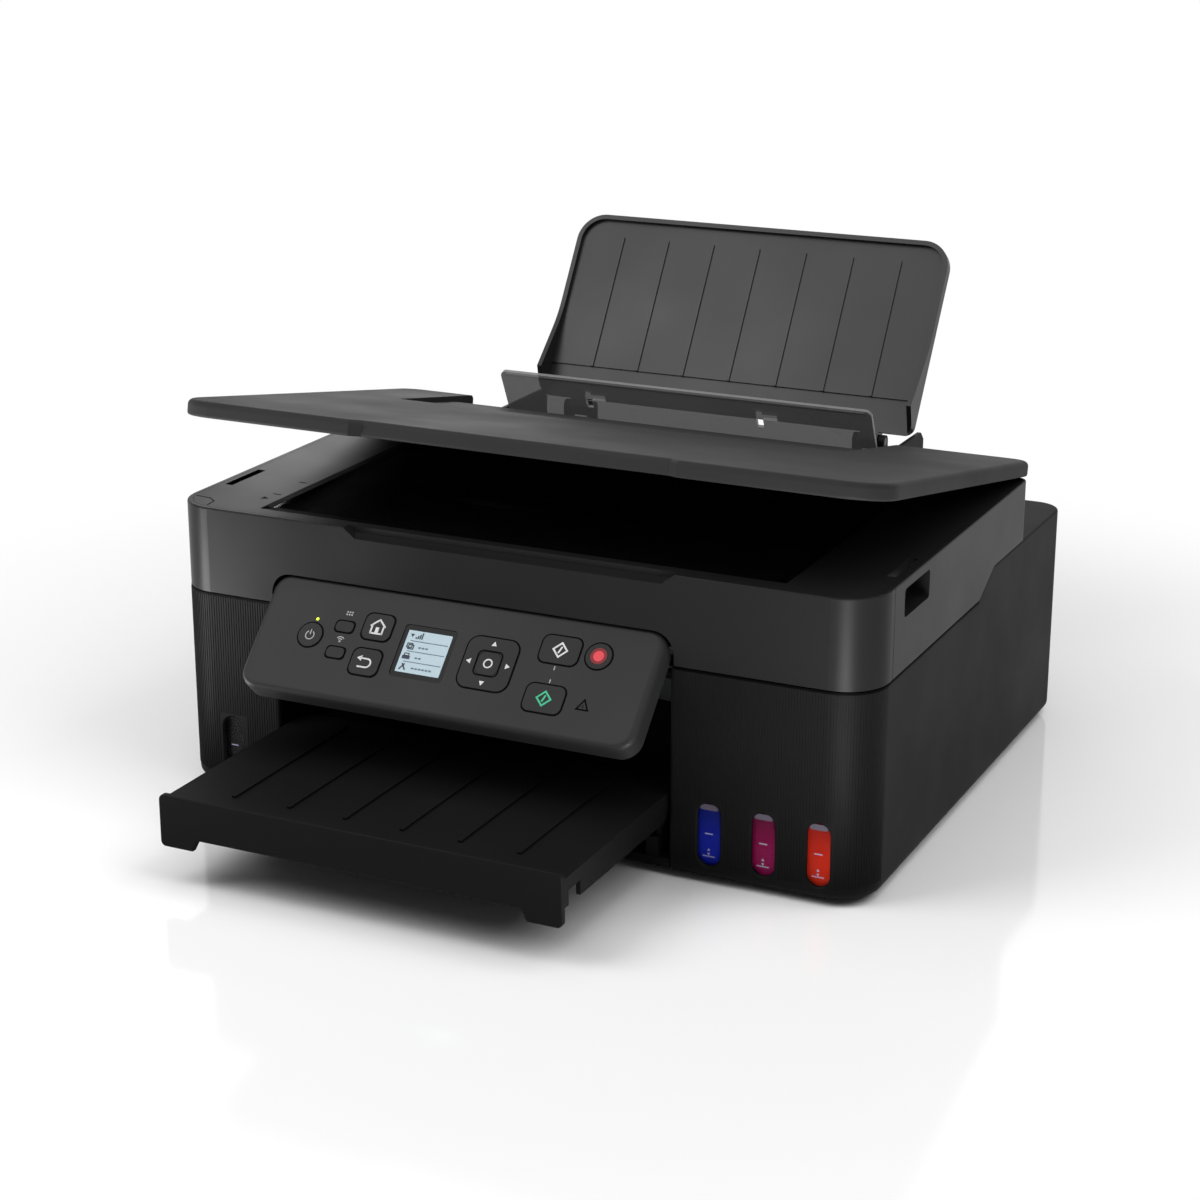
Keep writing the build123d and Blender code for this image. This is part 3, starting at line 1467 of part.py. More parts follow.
def lid_shell():
    lid = upright(lid_outline(), lid_low, lid_high)
    lid = fillet(lid.edges().group_by(Axis.Z)[-1], lid_edge_radius)
    lid = fillet(lid.edges().group_by(Axis.Z)[0], lid_lower_radius)
    lid -= upright(offset(lid_outline(), -lid_wall), lid_low - past, lid_high - lid_skin)
    under = lid_high - lid_skin / 2
    rear_inner = lid_rear - lid_wall / 2
    lid += block(notch_left - lid_wall, notch_right + lid_wall, notch_front - lid_wall,
                 notch_open_from + lid_wall,
                 notch_low, under)
    pitch = (body_width - 2 * pad_margin) / (lid_ribs + 1)
    for number in range(lid_ribs):
        x = left + pad_margin + (number + 1) * pitch
        lid += block(x - lid_rib / 2, x + lid_rib / 2, front + 2 * pad_front_margin, notch_front, notch_low,
                     under)
    for x in (notch_left - lid_wall, notch_right):
        lid += block(x, x + lid_wall, notch_open_from, rear_inner, lid_low, under)
    half = lid_block_width / 2
    for x in lid_ear_places:
        lid += block(x - half, x + half, lid_axis_y - lid_block_length, rear_inner, lid_low, under)
    lid -= block(notch_left, notch_right, notch_front, notch_open_from + past, notch_low + notch_floor,
                 ceiling)
    lid -= block(notch_left, notch_right, notch_open_from, lid_rear + past, lid_low - past, ceiling)
    half = lid_ear_width / 2 + tower_gap
    for x in lid_ear_places:
        lid -= block(x - half, x + half, lid_axis_y - lid_ear_radius - past, lid_rear + past,
                     lid_low - past,
                     lid_axis_z + lid_ear_radius + lid_ear_clearance)
        lid += rod_x(lid_axis_y, lid_axis_z, lid_pin_radius, x - half - lid_pin_seat,
                     x + half + lid_pin_seat)
    return ajar(lid)


def ajar(shape):
    return swing(shape, lid_axis_y, lid_axis_z, -lid_open_angle)


def lid_pad():
    pad = block(left + pad_margin, right - pad_margin, front + pad_front_margin,
                notch_open_from - lid_pin_seat,
                lid_low, lid_low + pad_thickness)
    return ajar(fillet(pad.edges().filter_by(Axis.Z), pad_corner_radius))


# Control panel
def tilted(shape):
    return swing(shape, panel_axis_y, panel_axis_z, -panel_tilt)


def ok_square(grow):
    side = ok_key_size + 2 * grow
    return Pos(pad_key_x, panel_mid_z) * RectangleRounded(side, side, ok_key_radius)


def key_faces():
    # Each key's outline on the panel, by name, in X and Z of the upright panel.
    small = RectangleRounded(small_key_width, small_key_height, small_key_radius)
    square = RectangleRounded(square_key_width, square_key_height, square_key_radius)
    start = RectangleRounded(start_key_width, start_key_height, start_key_radius)
    pad = Pos(pad_key_x, panel_mid_z) * RectangleRounded(pad_key_size, pad_key_size, pad_key_radius)
    return {
        "power_key": Pos(power_key_x, panel_mid_z) * Circle(power_key_radius),
        "code_key": Pos(small_key_x, panel_mid_z + small_key_offset) * small,
        "connect_key": Pos(small_key_x, panel_mid_z - small_key_offset) * small,
        "home_key": Pos(square_key_x, panel_mid_z + square_key_offset) * square,
        "back_key": Pos(square_key_x, panel_mid_z - square_key_offset) * square,
        "arrow_key": pad - ok_square(key_side_gap),
        "ok_key": ok_square(0),
        "start_black_key": Pos(start_key_x, panel_mid_z + start_key_offset) * start,
        "start_colour_key": Pos(start_key_x, panel_mid_z - start_key_offset) * start,
        "stop_key": Pos(stop_key_x, panel_mid_z + start_key_offset) * Circle(stop_key_radius),
    }


def panel_half(y0, y1):
    face = front_rectangle(panel_left, panel_right, panel_low_z, panel_top_z, panel_corner_radius)
    blank = front_shape(face, panel_front_y, panel_back_y)
    blank = fillet(blank.faces().sort_by(Axis.Y)[0].edges(), panel_edge_radius)
    blank = fillet(blank.faces().sort_by(Axis.Y)[-1].edges(), panel_edge_radius / 2)
    return blank & block(left, right, y0, y1, 0, ceiling)


def panel_inside():
    face = front_rectangle(panel_left + panel_skin, panel_right - panel_skin, panel_low_z + panel_skin,
                           panel_top_z - panel_skin, panel_corner_radius - panel_skin)
    return front_shape(face, panel_front_y + panel_skin, panel_back_y - panel_skin)


def display_face(grow):
    width = display_width + 2 * grow
    height = display_height + 2 * grow
    return Pos(display_x, panel_mid_z) * RectangleRounded(width, height, display_radius)


def panel_front():
    # The front half, with key and display openings and two open bores that snap over the pivot pins.
    blank = panel_half(panel_front_y, panel_split_y)
    half = blank - panel_inside()
    openings = [offset(outer_only(face), key_side_gap) for name,
                face in key_faces().items() if name != "ok_key"]
    for face in openings + [display_face(0)]:
        half -= front_shape(face, panel_front_y - past, panel_front_y + panel_skin + past)
    z0 = panel_axis_z - panel_boss_height / 2
    for x0, x1 in ((panel_left, panel_left + panel_boss), (panel_right - panel_boss, panel_right)):
        boss = block(x0, x1, panel_front_y + panel_skin / 2, panel_split_y, z0, z0 + panel_boss_height)
        half += boss & blank
        half -= rod_x(panel_axis_y, panel_axis_z, panel_pin_radius + run_gap, x0 - past, x1 + past)
    return tilted(half)


def outer_only(face):
    return make_face(face.faces()[0].outer_wire())


def panel_back():
    half = panel_half(panel_split_y + seat_gap, panel_back_y)
    half -= block(panel_left + panel_back_margin, panel_right - panel_back_margin, panel_split_y,
                  panel_back_y - panel_skin, panel_low_z + panel_back_margin,
                  panel_top_z - panel_back_top_margin)
    for x0, x1 in ((panel_left - past, panel_left + panel_boss),
                   (panel_right - panel_boss, panel_right + past)):
        half -= rod_x(panel_axis_y, panel_axis_z, panel_pin_radius + fit_gap, x0, x1)
    return tilted(half)


def display():
    inner = panel_front_y + panel_skin
    module = front_shape(display_face(-seat_gap), panel_front_y + display_recess, inner + display_thickness)
    module += front_shape(display_face(display_frame), inner + seat_gap, inner + display_thickness)
    return tilted(module)


def key(name):
    # A cap in its hole, with a flange that holds it under the skin.
    face = key_faces()[name]
    inner = panel_front_y + panel_skin + key_flange_gap
    bottom = panel_front_y + key_stem_depth
    collar = offset(outer_only(face), key_flange)
    if name == "ok_key":
        inner += key_flange_thickness + key_travel + key_flange_gap
    if name == "arrow_key":
        collar -= ok_square(key_side_gap)
        bottom = inner + key_flange_thickness
    cap = front_shape(face, panel_front_y - key_proud, bottom)
    return tilted(cap + front_shape(collar, inner, inner + key_flange_thickness))


def main():
    plain = [
        lower_housing, base_pan, feet, scanner_hinge_pins, ink_windows, chassis, guide_rail, platen,
        feed_roller,
        exit_roller, feed_gear, motor_pinion, feed_motor, carriage_motor, drive_pulley, idler_pulley,
        timing_belt,
        carriage, purge_unit, power_supply, logic_board, rear_cover, power_inlet, usb_port, rear_tray,
        pickup_roller, slot_cover, paper_support, output_tray, scanner_case, scanner_top, platen_glass,
        scan_bar,
        lid_shell, lid_pad, panel_front, panel_back, display,
    ]
    shapes = {build.__name__: build() for build in plain}
    for ink in inks:
        shapes["ink_tank_" + ink] = ink_tank(ink)
        shapes["tank_cap_" + ink] = tank_cap(ink)
    for name in key_faces():
        shapes[name] = key(name)
    shapes["paper_guide_left"] = paper_guide(-1)
    shapes["paper_guide_right"] = paper_guide(1)
    black_place, colour_place = head_places()
    shapes["print_head_black"] = print_head(black_place)
    shapes["print_head_colour"] = print_head(colour_place)
    os.makedirs("parts", exist_ok=True)
    for name, shape in shapes.items():
        shape.label = name
        export_step(shape, "parts/" + name + ".step")


main()
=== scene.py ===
import json
import math

import bmesh
import bpy
from mathutils import Matrix, Vector


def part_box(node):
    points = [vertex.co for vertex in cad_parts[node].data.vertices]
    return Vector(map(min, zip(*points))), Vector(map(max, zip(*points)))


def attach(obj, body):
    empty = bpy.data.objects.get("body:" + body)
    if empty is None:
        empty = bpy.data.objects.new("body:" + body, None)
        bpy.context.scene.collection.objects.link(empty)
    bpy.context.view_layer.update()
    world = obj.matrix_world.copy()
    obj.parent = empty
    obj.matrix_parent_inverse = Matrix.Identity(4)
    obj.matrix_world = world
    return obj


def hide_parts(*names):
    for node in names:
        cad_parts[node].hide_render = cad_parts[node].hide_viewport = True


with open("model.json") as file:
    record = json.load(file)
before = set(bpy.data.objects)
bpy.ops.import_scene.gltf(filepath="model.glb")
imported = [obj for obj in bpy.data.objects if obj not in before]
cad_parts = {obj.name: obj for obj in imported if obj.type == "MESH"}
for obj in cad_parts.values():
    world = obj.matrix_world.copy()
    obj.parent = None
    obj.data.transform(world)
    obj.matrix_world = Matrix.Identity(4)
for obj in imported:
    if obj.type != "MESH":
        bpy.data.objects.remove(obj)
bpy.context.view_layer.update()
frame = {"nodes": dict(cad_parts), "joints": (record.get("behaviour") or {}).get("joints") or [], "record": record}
nodes = frame["nodes"]
joints = {joint["name"]: joint for joint in frame["joints"]}
mm = 0.001
print("frame loaded:", len(nodes), "nodes")


# Colours and nodes
def hexColour(code):
    values = [int(code[i:i + 2], 16) / 255 for i in (1, 3, 5)]
    linear = [v / 12.92 if v <= 0.04045 else ((v + 0.055) / 1.055) ** 2.4 for v in values]
    return (*linear, 1.0)


def addNode(tree, kind, settings=None, **inputs):
    node = tree.nodes.new(kind)
    for key, value in (settings or {}).items():
        setattr(node, key, value)
    for key, value in inputs.items():
        numbered = key[0] == "i" and key[1:].isdigit()  # i2 is the third socket, other keys are socket names
        socket = node.inputs[int(key[1:])] if numbered else node.inputs[key.replace("_", " ")]
        if isinstance(value, bpy.types.NodeSocket):
            tree.links.new(value, socket)
        else:
            socket.default_value = value
    return node


def newMaterial(name, colour, roughness, **shaderValues):
    material = bpy.data.materials.new(name)
    material.use_nodes = True
    tree = material.node_tree
    shader = tree.nodes["Principled BSDF"]
    shader.inputs["Base Color"].default_value = hexColour(colour)
    shader.inputs["Roughness"].default_value = roughness
    for key, value in shaderValues.items():
        shader.inputs[key.replace("_", " ")].default_value = value
    return material, tree, shader


def grain(tree, shader, grainSize, depth, roughLow, roughHigh, colourLow=None, colourHigh=None):
    # moulded skin: fine speckle in height, a slow drift in gloss and a slight drift in colour
    place = addNode(tree, "ShaderNodeTexCoord").outputs["Object"]
    fine = addNode(tree, "ShaderNodeTexNoise", Vector=place, Scale=1 / (grainSize * mm), Detail=2.0)
    slow = addNode(tree, "ShaderNodeTexNoise", Vector=place, Scale=1 / (70 * mm), Detail=3.0)
    bump = addNode(tree, "ShaderNodeBump", Height=fine.outputs[0], Strength=0.5, Distance=depth * mm)
    gloss = addNode(tree, "ShaderNodeMapRange", Value=slow.outputs[0], i1=0.3, i2=0.7, i3=roughLow,
                    i4=roughHigh)
    tree.links.new(bump.outputs[0], shader.inputs["Normal"])
    tree.links.new(gloss.outputs[0], shader.inputs["Roughness"])
    if colourLow:
        ramp = addNode(tree, "ShaderNodeValToRGB", i0=slow.outputs[0])
        ramp.color_ramp.elements[0].color = hexColour(colourLow)
        ramp.color_ramp.elements[1].color = hexColour(colourHigh)
        tree.links.new(ramp.outputs[0], shader.inputs["Base Color"])


def hazedGloss(tree, shader, hazeSize, roughLow, roughHigh):
    # glass and clear plastic: a slow haze over the shine
    place = addNode(tree, "ShaderNodeTexCoord").outputs["Object"]
    haze = addNode(tree, "ShaderNodeTexNoise", Vector=place, Scale=1 / (hazeSize * mm))
    gloss = addNode(tree, "ShaderNodeMapRange", Value=haze.outputs[0], i3=roughLow, i4=roughHigh)
    tree.links.new(gloss.outputs[0], shader.inputs["Roughness"])


# ABS with a spark-eroded skin: black, fine dull speckle, soft broad highlights
def blackAbs():
    material, tree, shader = newMaterial("sparkErodedBlackAbs", "#0d0d0d", 0.54, Specular_IOR_Level=0.06)
    grain(tree, shader, 0.5, 0.03, 0.5, 0.6, "#0c0c0c", "#101010")
    return material


# ABS polished to satin: near black, smooth, with a clear soft highlight on the round corners
def satinAbs():
    material, tree, shader = newMaterial("satinCharcoalAbs", "#161616", 0.36, Specular_IOR_Level=0.08)
    grain(tree, shader, 0.4, 0.012, 0.32, 0.4, "#151515", "#191919")
    return material


# ABS with a smooth skin: the paper support's black, a low sheen
def supportAbs():
    material, tree, shader = newMaterial("smoothSupportAbs", "#161616", 0.38, Specular_IOR_Level=0.28)
    grain(tree, shader, 0.4, 0.012, 0.34, 0.42, "#151515", "#191919")
    return material


# ABS with a fine matt texture: the lid's grey, a wide dull sheen
def lidAbs():
    material, tree, shader = newMaterial("mattLidAbs", "#1e1e1e", 0.62, Specular_IOR_Level=0.12)
    grain(tree, shader, 0.6, 0.03, 0.56, 0.68, "#1c1c1c", "#212121")
    return material


# ABS with a satin skin: the control panel's charcoal
def panelAbs():
    material, tree, shader = newMaterial("satinPanelAbs", "#1e1e1e", 0.48, Specular_IOR_Level=0.12)
    grain(tree, shader, 0.4, 0.012, 0.44, 0.52, "#1d1d1d", "#212121")
    return material


# Moulded key tops with a matt lacquer: a little darker than the panel, dull
def keyAbs():
    material, tree, shader = newMaterial("mattKeyAbs", "#1c1c1c", 0.5, Specular_IOR_Level=0.12)
    grain(tree, shader, 0.35, 0.012, 0.46, 0.56, "#1b1b1b", "#1f1f1f")
    return material


# Polystyrene engine mouldings: plain black, never polished
def enginePlastic():
    material, tree, shader = newMaterial("dullEnginePolystyrene", "#0a0a0a", 0.65, Specular_IOR_Level=0.14)
    grain(tree, shader, 0.8, 0.03, 0.6, 0.7, "#080808", "#0d0d0d")
    return material


# Acetal gears and caps: milky white or grey, slightly waxy
def acetal(name, colour):
    material, tree, shader = newMaterial(name, colour, 0.4, Subsurface_Weight=0.15)
    shader.inputs["Subsurface Radius"].default_value = (0.002, 0.002, 0.002)
    grain(tree, shader, 0.9, 0.01, 0.34, 0.46)
    return material


# Zinc-coated sheet: cool grey with a fine rolled streak along X
def zincSheet():
    material, tree, shader = newMaterial("zincCoatedSheet", "#9a9da0", 0.38, Metallic=1.0)
    place = addNode(tree, "ShaderNodeTexCoord").outputs["Object"]
    rolled = (1 / (40 * mm), 1 / (0.5 * mm), 1 / (0.5 * mm))
    stretch = addNode(tree, "ShaderNodeMapping", Vector=place, Scale=rolled)
    streak = addNode(tree, "ShaderNodeTexNoise", Vector=stretch.outputs[0], Scale=1.0, Detail=3.0)
    gloss = addNode(tree, "ShaderNodeMapRange", Value=streak.outputs[0], i3=0.3, i4=0.5)
    tree.links.new(gloss.outputs[0], shader.inputs["Roughness"])
    return material


# Ground steel shafts: bright with fine rings from the wheel
def groundSteel():
    material, tree, shader = newMaterial("groundSteel", "#b7babd", 0.22, Metallic=1.0)
    place = addNode(tree, "ShaderNodeTexCoord").outputs["Object"]
    rings = addNode(tree, "ShaderNodeTexWave", Vector=place, Scale=1 / (1.5 * mm), Distortion=1.5)
    gloss = addNode(tree, "ShaderNodeMapRange", Value=rings.outputs[1], i3=0.18, i4=0.3)
    tree.links.new(gloss.outputs[0], shader.inputs["Roughness"])
    return material


# Rubber: soft black or grey, chalky with a little bloom
def rubber(name, colour, bloom):
    material, tree, shader = newMaterial(name, colour, 0.85, Specular_IOR_Level=0.2)
    grain(tree, shader, 0.7, 0.05, 0.78, 0.92, colour, bloom)
    return material


# Epoxy glass board: green lacquer with lighter copper tracks below it
def circuitBoard():
    material, tree, shader = newMaterial("greenCircuitBoard", "#12512f", 0.35, Coat_Weight=0.3)
    place = addNode(tree, "ShaderNodeTexCoord").outputs["Object"]
    tracks = addNode(tree, "ShaderNodeTexBrick", Vector=place, Scale=1 / (14 * mm), Mortar_Size=0.04,
                     Color1=hexColour("#12512f"), Color2=hexColour("#155c36"), Mortar=hexColour("#2c7a4c"))
    tree.links.new(tracks.outputs[0], shader.inputs["Base Color"])
    return material


# Float glass: clear with a faint green body
def floatGlass():
    material, tree, shader = newMaterial("floatGlass", "#0a0c0b", 0.05, Alpha=0.35, Specular_IOR_Level=0.5)
    hazedGloss(tree, shader, 60, 0.03, 0.08)
    return material


# Acrylic lens: clear, so that the ink shows its full colour, with a faint haze
def acrylicLens():
    material, tree, shader = newMaterial("clearAcrylic", "#101014", 0.06, Alpha=0.06, Specular_IOR_Level=0.5)
    hazedGloss(tree, shader, 9, 0.03, 0.09)
    return material


# Smoked polycarbonate: grey see-through flap, frosted by a fine moulded texture
def smokedPolycarbonate():
    material, tree, shader = newMaterial("smokedPolycarbonate", "#747474", 0.3, Alpha=0.74,
                                         Specular_IOR_Level=0.4)
    grain(tree, shader, 0.8, 0.01, 0.26, 0.36, "#6c6c6c", "#7e7e7e")
    return material


# Polypropylene tank with ink behind it: the colour deepens towards the top of the tank
def inkTank(name, low, high):
    material, tree, shader = newMaterial(name, low, 0.4, Specular_IOR_Level=0.08)
    place = addNode(tree, "ShaderNodeTexCoord").outputs["Object"]
    split = addNode(tree, "ShaderNodeSeparateXYZ", Vector=place)
    rise = addNode(tree, "ShaderNodeMapRange", Value=split.outputs[2], i1=14 * mm, i2=44 * mm)
    ramp = addNode(tree, "ShaderNodeValToRGB", i0=rise.outputs[0])
    ramp.color_ramp.elements[0].color = hexColour(low)
    ramp.color_ramp.elements[1].color = hexColour(high)
    tree.links.new(ramp.outputs[0], shader.inputs["Base Color"])
    return material


# Polyurethane foam with a smooth film: the lid's pad, softly dimpled
def padFoam():
    material, tree, shader = newMaterial("filmedFoam", "#2c2c2c", 0.7, Specular_IOR_Level=0.2)
    grain(tree, shader, 1.5, 0.12, 0.62, 0.8, "#282828", "#323232")
    return material


# Glass over a liquid-crystal panel: dark edge, glossy face
def displayGlass():
    material, tree, shader = newMaterial("displayGlass", "#0c0d0f", 0.2, Specular_IOR_Level=0.06)
    hazedGloss(tree, shader, 12, 0.16, 0.26)
    return material


# Pad-printed ink: thin, flat and slightly uneven; the same thin layer also carries painted shade and painted
# reflection marks
def printInk(name, colour, glow=0.0, shine=0.2):
    material, tree, shader = newMaterial(name, colour, 0.55, Specular_IOR_Level=shine)
    grain(tree, shader, 0.3, 0.005, 0.5, 0.62)
    if glow:
        shader.inputs["Emission Color"].default_value = hexColour(colour)
        shader.inputs["Emission Strength"].default_value = glow
    return material


slotMaterials = {
    "housing_black": blackAbs(), "scanner_charcoal": satinAbs(), "lid_charcoal": lidAbs(),
    "lid_foam": padFoam(), "panel_charcoal": panelAbs(), "key_black": keyAbs(),
    "display_glass": displayGlass(), "scan_glass": floatGlass(), "smoked_flap": smokedPolycarbonate(),
    "window_clear": acrylicLens(),
    "ink_black": inkTank("blackInkTank", "#0b0b0d", "#050506"),
    "ink_cyan": inkTank("cyanInkTank", "#0a22b4", "#04104e"),
    "ink_magenta": inkTank("magentaInkTank", "#960050", "#4c0024"),
    "ink_yellow": inkTank("yellowInkTank", "#e22a08", "#7a0c00"),
    "cap_grey": acetal("greyAcetal", "#6d6d6d"), "engine_plastic": enginePlastic(),
    "gear_white": acetal("whiteAcetal", "#d8d6cf"), "sheet_steel": zincSheet(), "shaft_steel": groundSteel(),
    "motor_steel": zincSheet(), "rubber_black": rubber("blackRubber", "#111111", "#191919"),
    "rubber_grey": rubber("greyRubber", "#3a3a3a", "#464646"), "circuit_green": circuitBoard(),
    "socket_black": enginePlastic(), "port_steel": zincSheet(),
}
whiteInk = printInk("whitePrint", "#c0c0c0")
greyInk = printInk("greyPrint", "#929292")
# near-black: real print, the glass's dark border, and painted shade in the seams and key gaps
nearBlackPrintAndShade = printInk("nearBlackPrintAndPaintedShade", "#020202", shine=0.02)
greenInk = printInk("greenPrint", "#38a57c")
redInk = printInk("redPrint", "#c8434c")
deepRedInk = printInk("deepRedPrint", "#6e2428")
screenPaper = printInk("litScreen", "#9fb0b8", 0.12)
screenInk = printInk("screenInk", "#56646f")
screenDark = printInk("screenDark", "#2c3440")
ledGlow = printInk("greenLed", "#b5c92e", 1.0)

# CAD nodes take the material of their record slot
for entry in frame["record"]["subparts"]:
    mesh = nodes[entry["node"]].data
    mesh.materials.clear()
    mesh.materials.append(slotMaterials[entry["material_slot"]])
nodes["paper_support"].data.materials[0] = supportAbs()
print("materials on CAD nodes")


# Turns from the plain position of a moving piece to its place at rest
def turnAbout(jointName, degrees):
    pivot = Matrix.Translation(joints[jointName]["pos_m"])
    return pivot @ Matrix.Rotation(math.radians(degrees), 4, "X") @ pivot.inverted()


panelTurn = turnAbout("panel_tilt", joints["panel_tilt"]["range_deg"][0])  # from upright to tilted
lidTurn = turnAbout("lid_hinge", -joints["lid_hinge"]["range_deg"][1])  # from closed to ajar
stillTurn = Matrix.Identity(4)
uprightSheet = Matrix(((1, 0, 0, 0), (0, 0, -1, 0), (0, 1, 0, 0), (0, 0, 0, 1)))  # sheet y is up, z faces front


def plainBox(node, turn):
    back = turn.inverted()
    points = [back @ vertex.co for vertex in nodes[node].data.vertices]
    low = Vector([min(point[axis] for point in points) for axis in range(3)])
    high = Vector([max(point[axis] for point in points) for axis in range(3)])
    return low, high


def frontSpot(node, turn):
    low, high = plainBox(node, turn)
    return Vector(((low.x + high.x) / 2, low.y, (low.z + high.z) / 2))


def frontPlace(turn, spot, x=0.0, y=0.0):
    return turn @ Matrix.Translation(spot + Vector((x, 0, y)) * mm) @ uprightSheet @ Matrix.Scale(mm, 4)


def makeObject(name, bm):
    mesh = bpy.data.meshes.new(name)
    bm.normal_update()
    bm.to_mesh(mesh)
    bm.free()
    piece = bpy.data.objects.new(name, mesh)
    bpy.context.scene.collection.objects.link(piece)
    return piece


def finishPiece(name, bm, material, body, place=stillTurn):
    bmesh.ops.recalc_face_normals(bm, faces=bm.faces)
    bm.transform(place)
    piece = makeObject(name, bm)
    piece.data.materials.append(material)
    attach(piece, body)
    return piece


# Printed signs, and painted shade and reflection marks, drawn in millimetres on a flat sheet
inkLayer = {"thickness": 0.16, "sunk": 0.06, "lap": 0.6, "arcStep": 12, "leastSteps": 6}


def vertsOf(geom):
    return [item for item in geom if isinstance(item, bmesh.types.BMVert)]


def settle(bm, verts, x, y, turn):
    bmesh.ops.rotate(bm, verts=verts, cent=(0, 0, 0), matrix=Matrix.Rotation(math.radians(turn), 3, "Z"))
    bmesh.ops.translate(bm, verts=verts, vec=(x, y, -inkLayer["sunk"]))


def raiseFaces(bm, faces, x, y, turn):
    top = vertsOf(bmesh.ops.extrude_face_region(bm, geom=faces)["geom"])
    bmesh.ops.translate(bm, verts=top, vec=(0, 0, inkLayer["thickness"]))
    base = {vert for face in faces if face.is_valid for vert in face.verts}
    settle(bm, list(base | set(top)), x, y, turn)


def hollowFace(bm, face, stroke):
    bm.normal_update()
    ring = bmesh.ops.inset_region(bm, faces=[face], thickness=stroke, use_boundary=True,
                                  use_even_offset=True)["faces"]
    bmesh.ops.delete(bm, geom=[face], context="FACES_ONLY")
    return ring


def roundFace(bm, width, height, radius, segments=6):
    verts = bmesh.ops.create_grid(bm, x_segments=1, y_segments=1, size=0.5)["verts"]
    bmesh.ops.scale(bm, verts=verts, vec=(width, height, 1))
    rounded = bmesh.ops.bevel(bm, geom=verts, offset=radius, offset_type="OFFSET", affect="VERTICES",
                              segments=segments, profile=0.5, material=-1)
    return rounded["verts"][0].link_faces[0]


def polygonFace(bm, radius, sides):
    verts = bmesh.ops.create_circle(bm, cap_ends=True, segments=sides, radius=radius)["verts"]
    return verts[0].link_faces[0]


def addPlate(bm, x, y, width, height, radius):
    raiseFaces(bm, [roundFace(bm, width, height, radius)], x, y, 0)


def addFrame(bm, x, y, width, height, radius, stroke):
    raiseFaces(bm, hollowFace(bm, roundFace(bm, width, height, radius), stroke), x, y, 0)


def addPolygon(bm, x, y, radius, sides=28, turn=0.0, stroke=None):
    face = polygonFace(bm, radius, sides)
    raiseFaces(bm, hollowFace(bm, face, stroke) if stroke else [face], x, y, turn)


def addBar(bm, x, y, width, height, turn=0.0):
    verts = bmesh.ops.create_cube(bm, size=1)["verts"]
    bmesh.ops.translate(bm, verts=verts, vec=(0, 0, 0.5))
    bmesh.ops.scale(bm, verts=verts, vec=(width, height, inkLayer["thickness"]))
    settle(bm, verts, x, y, turn)


def addStroke(bm, points, stroke):
    for (x0, y0), (x1, y1) in zip(points, points[1:]):
        length = math.hypot(x1 - x0, y1 - y0)
        turn = math.degrees(math.atan2(y1 - y0, x1 - x0))
        addBar(bm, (x0 + x1) / 2, (y0 + y1) / 2, length + stroke * inkLayer["lap"], stroke, turn)


def addArc(bm, x, y, radius, stroke, start, sweep):
    before = set(bm.verts)
    inner = radius - stroke / 2
    outer = radius + stroke / 2
    high = inkLayer["thickness"]
    section = ((inner, 0), (outer, 0), (outer, high), (inner, high))
    corners = [bm.verts.new((across, 0, up)) for across, up in section]
    face = bm.faces.new(corners)
    steps = max(inkLayer["leastSteps"], int(sweep / inkLayer["arcStep"]))
    bmesh.ops.spin(bm, geom=[face, *face.edges, *corners], cent=(0, 0, 0), axis=(0, 0, 1),
                   angle=math.radians(sweep), steps=steps, use_merge=False)
    settle(bm, [vert for vert in bm.verts if vert not in before], x, y, start)


# Lid pad: a thin foam sheet with a soft rim, glued under the lid
lidPadSizes = {"corner": 5.0, "rim": 1.1}


def buildLidPad():
    low, high = plainBox("lid_pad", lidTurn)
    size = (high - low) / mm
    bm = bmesh.new()
    face = roundFace(bm, size.x, size.y, lidPadSizes["corner"])
    top = vertsOf(bmesh.ops.extrude_face_region(bm, geom=[face])["geom"])
    bmesh.ops.translate(bm, verts=top, vec=(0, 0, size.z))
    lower = [edge for edge in bm.edges if all(vert.co.z < 0.01 for vert in edge.verts)]
    bmesh.ops.bevel(bm, geom=lower, offset=lidPadSizes["rim"], offset_type="OFFSET", affect="EDGES", segments=4,
                    profile=0.5, material=-1)
    middle = Vector(((low.x + high.x) / 2, (low.y + high.y) / 2, low.z))
    piece = finishPiece("lidPad", bm, slotMaterials["lid_foam"], "lid",
                        lidTurn @ Matrix.Translation(middle) @ Matrix.Scale(mm, 4))
    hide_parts("lid_pad")


buildLidPad()
print("lid pad")


# Front columns: fine upright ribs from the mouth round each corner, broken by the ink windows
ribSizes = {"pitch": 1.6, "foot": 1.0, "crest": 0.5, "proud": 0.26, "sunk": 0.3, "low": 11.0, "high": 116.6,
            "cornerRadius": 24.0, "mouthLeft": -141.0, "mouthRight": 97.5, "mouthEdge": 3.0,
            "windowHalf": 8.2, "windowTop": 47.4}
windowMiddles = {"black": -173.0, "cyan": 120.2, "magenta": 150.7, "yellow": 181.2}  # each lens in x


def addRib(bm, x, y, turn, low):
    high = ribSizes["high"]
    depth = ribSizes["proud"] + ribSizes["sunk"]
    verts = bmesh.ops.create_cube(bm, size=1)["verts"]
    bmesh.ops.scale(bm, verts=verts, vec=(ribSizes["foot"], depth, high - low))
    crest = [vert for vert in verts if vert.co.y < 0]
    bmesh.ops.scale(bm, verts=crest, vec=(ribSizes["crest"] / ribSizes["foot"], 1, 1))
    bmesh.ops.translate(bm, verts=verts, vec=(0, ribSizes["sunk"] - depth / 2, (low + high) / 2))
    bmesh.ops.rotate(bm, verts=verts, cent=(0, 0, 0), matrix=Matrix.Rotation(math.radians(turn), 3, "Z"))
    bmesh.ops.translate(bm, verts=verts, vec=(x, y, 0))


def ribFoot(x):
    overWindow = any(abs(x - middle) < ribSizes["windowHalf"] for middle in windowMiddles.values())
    return ribSizes["windowTop"] if overWindow else ribSizes["low"]


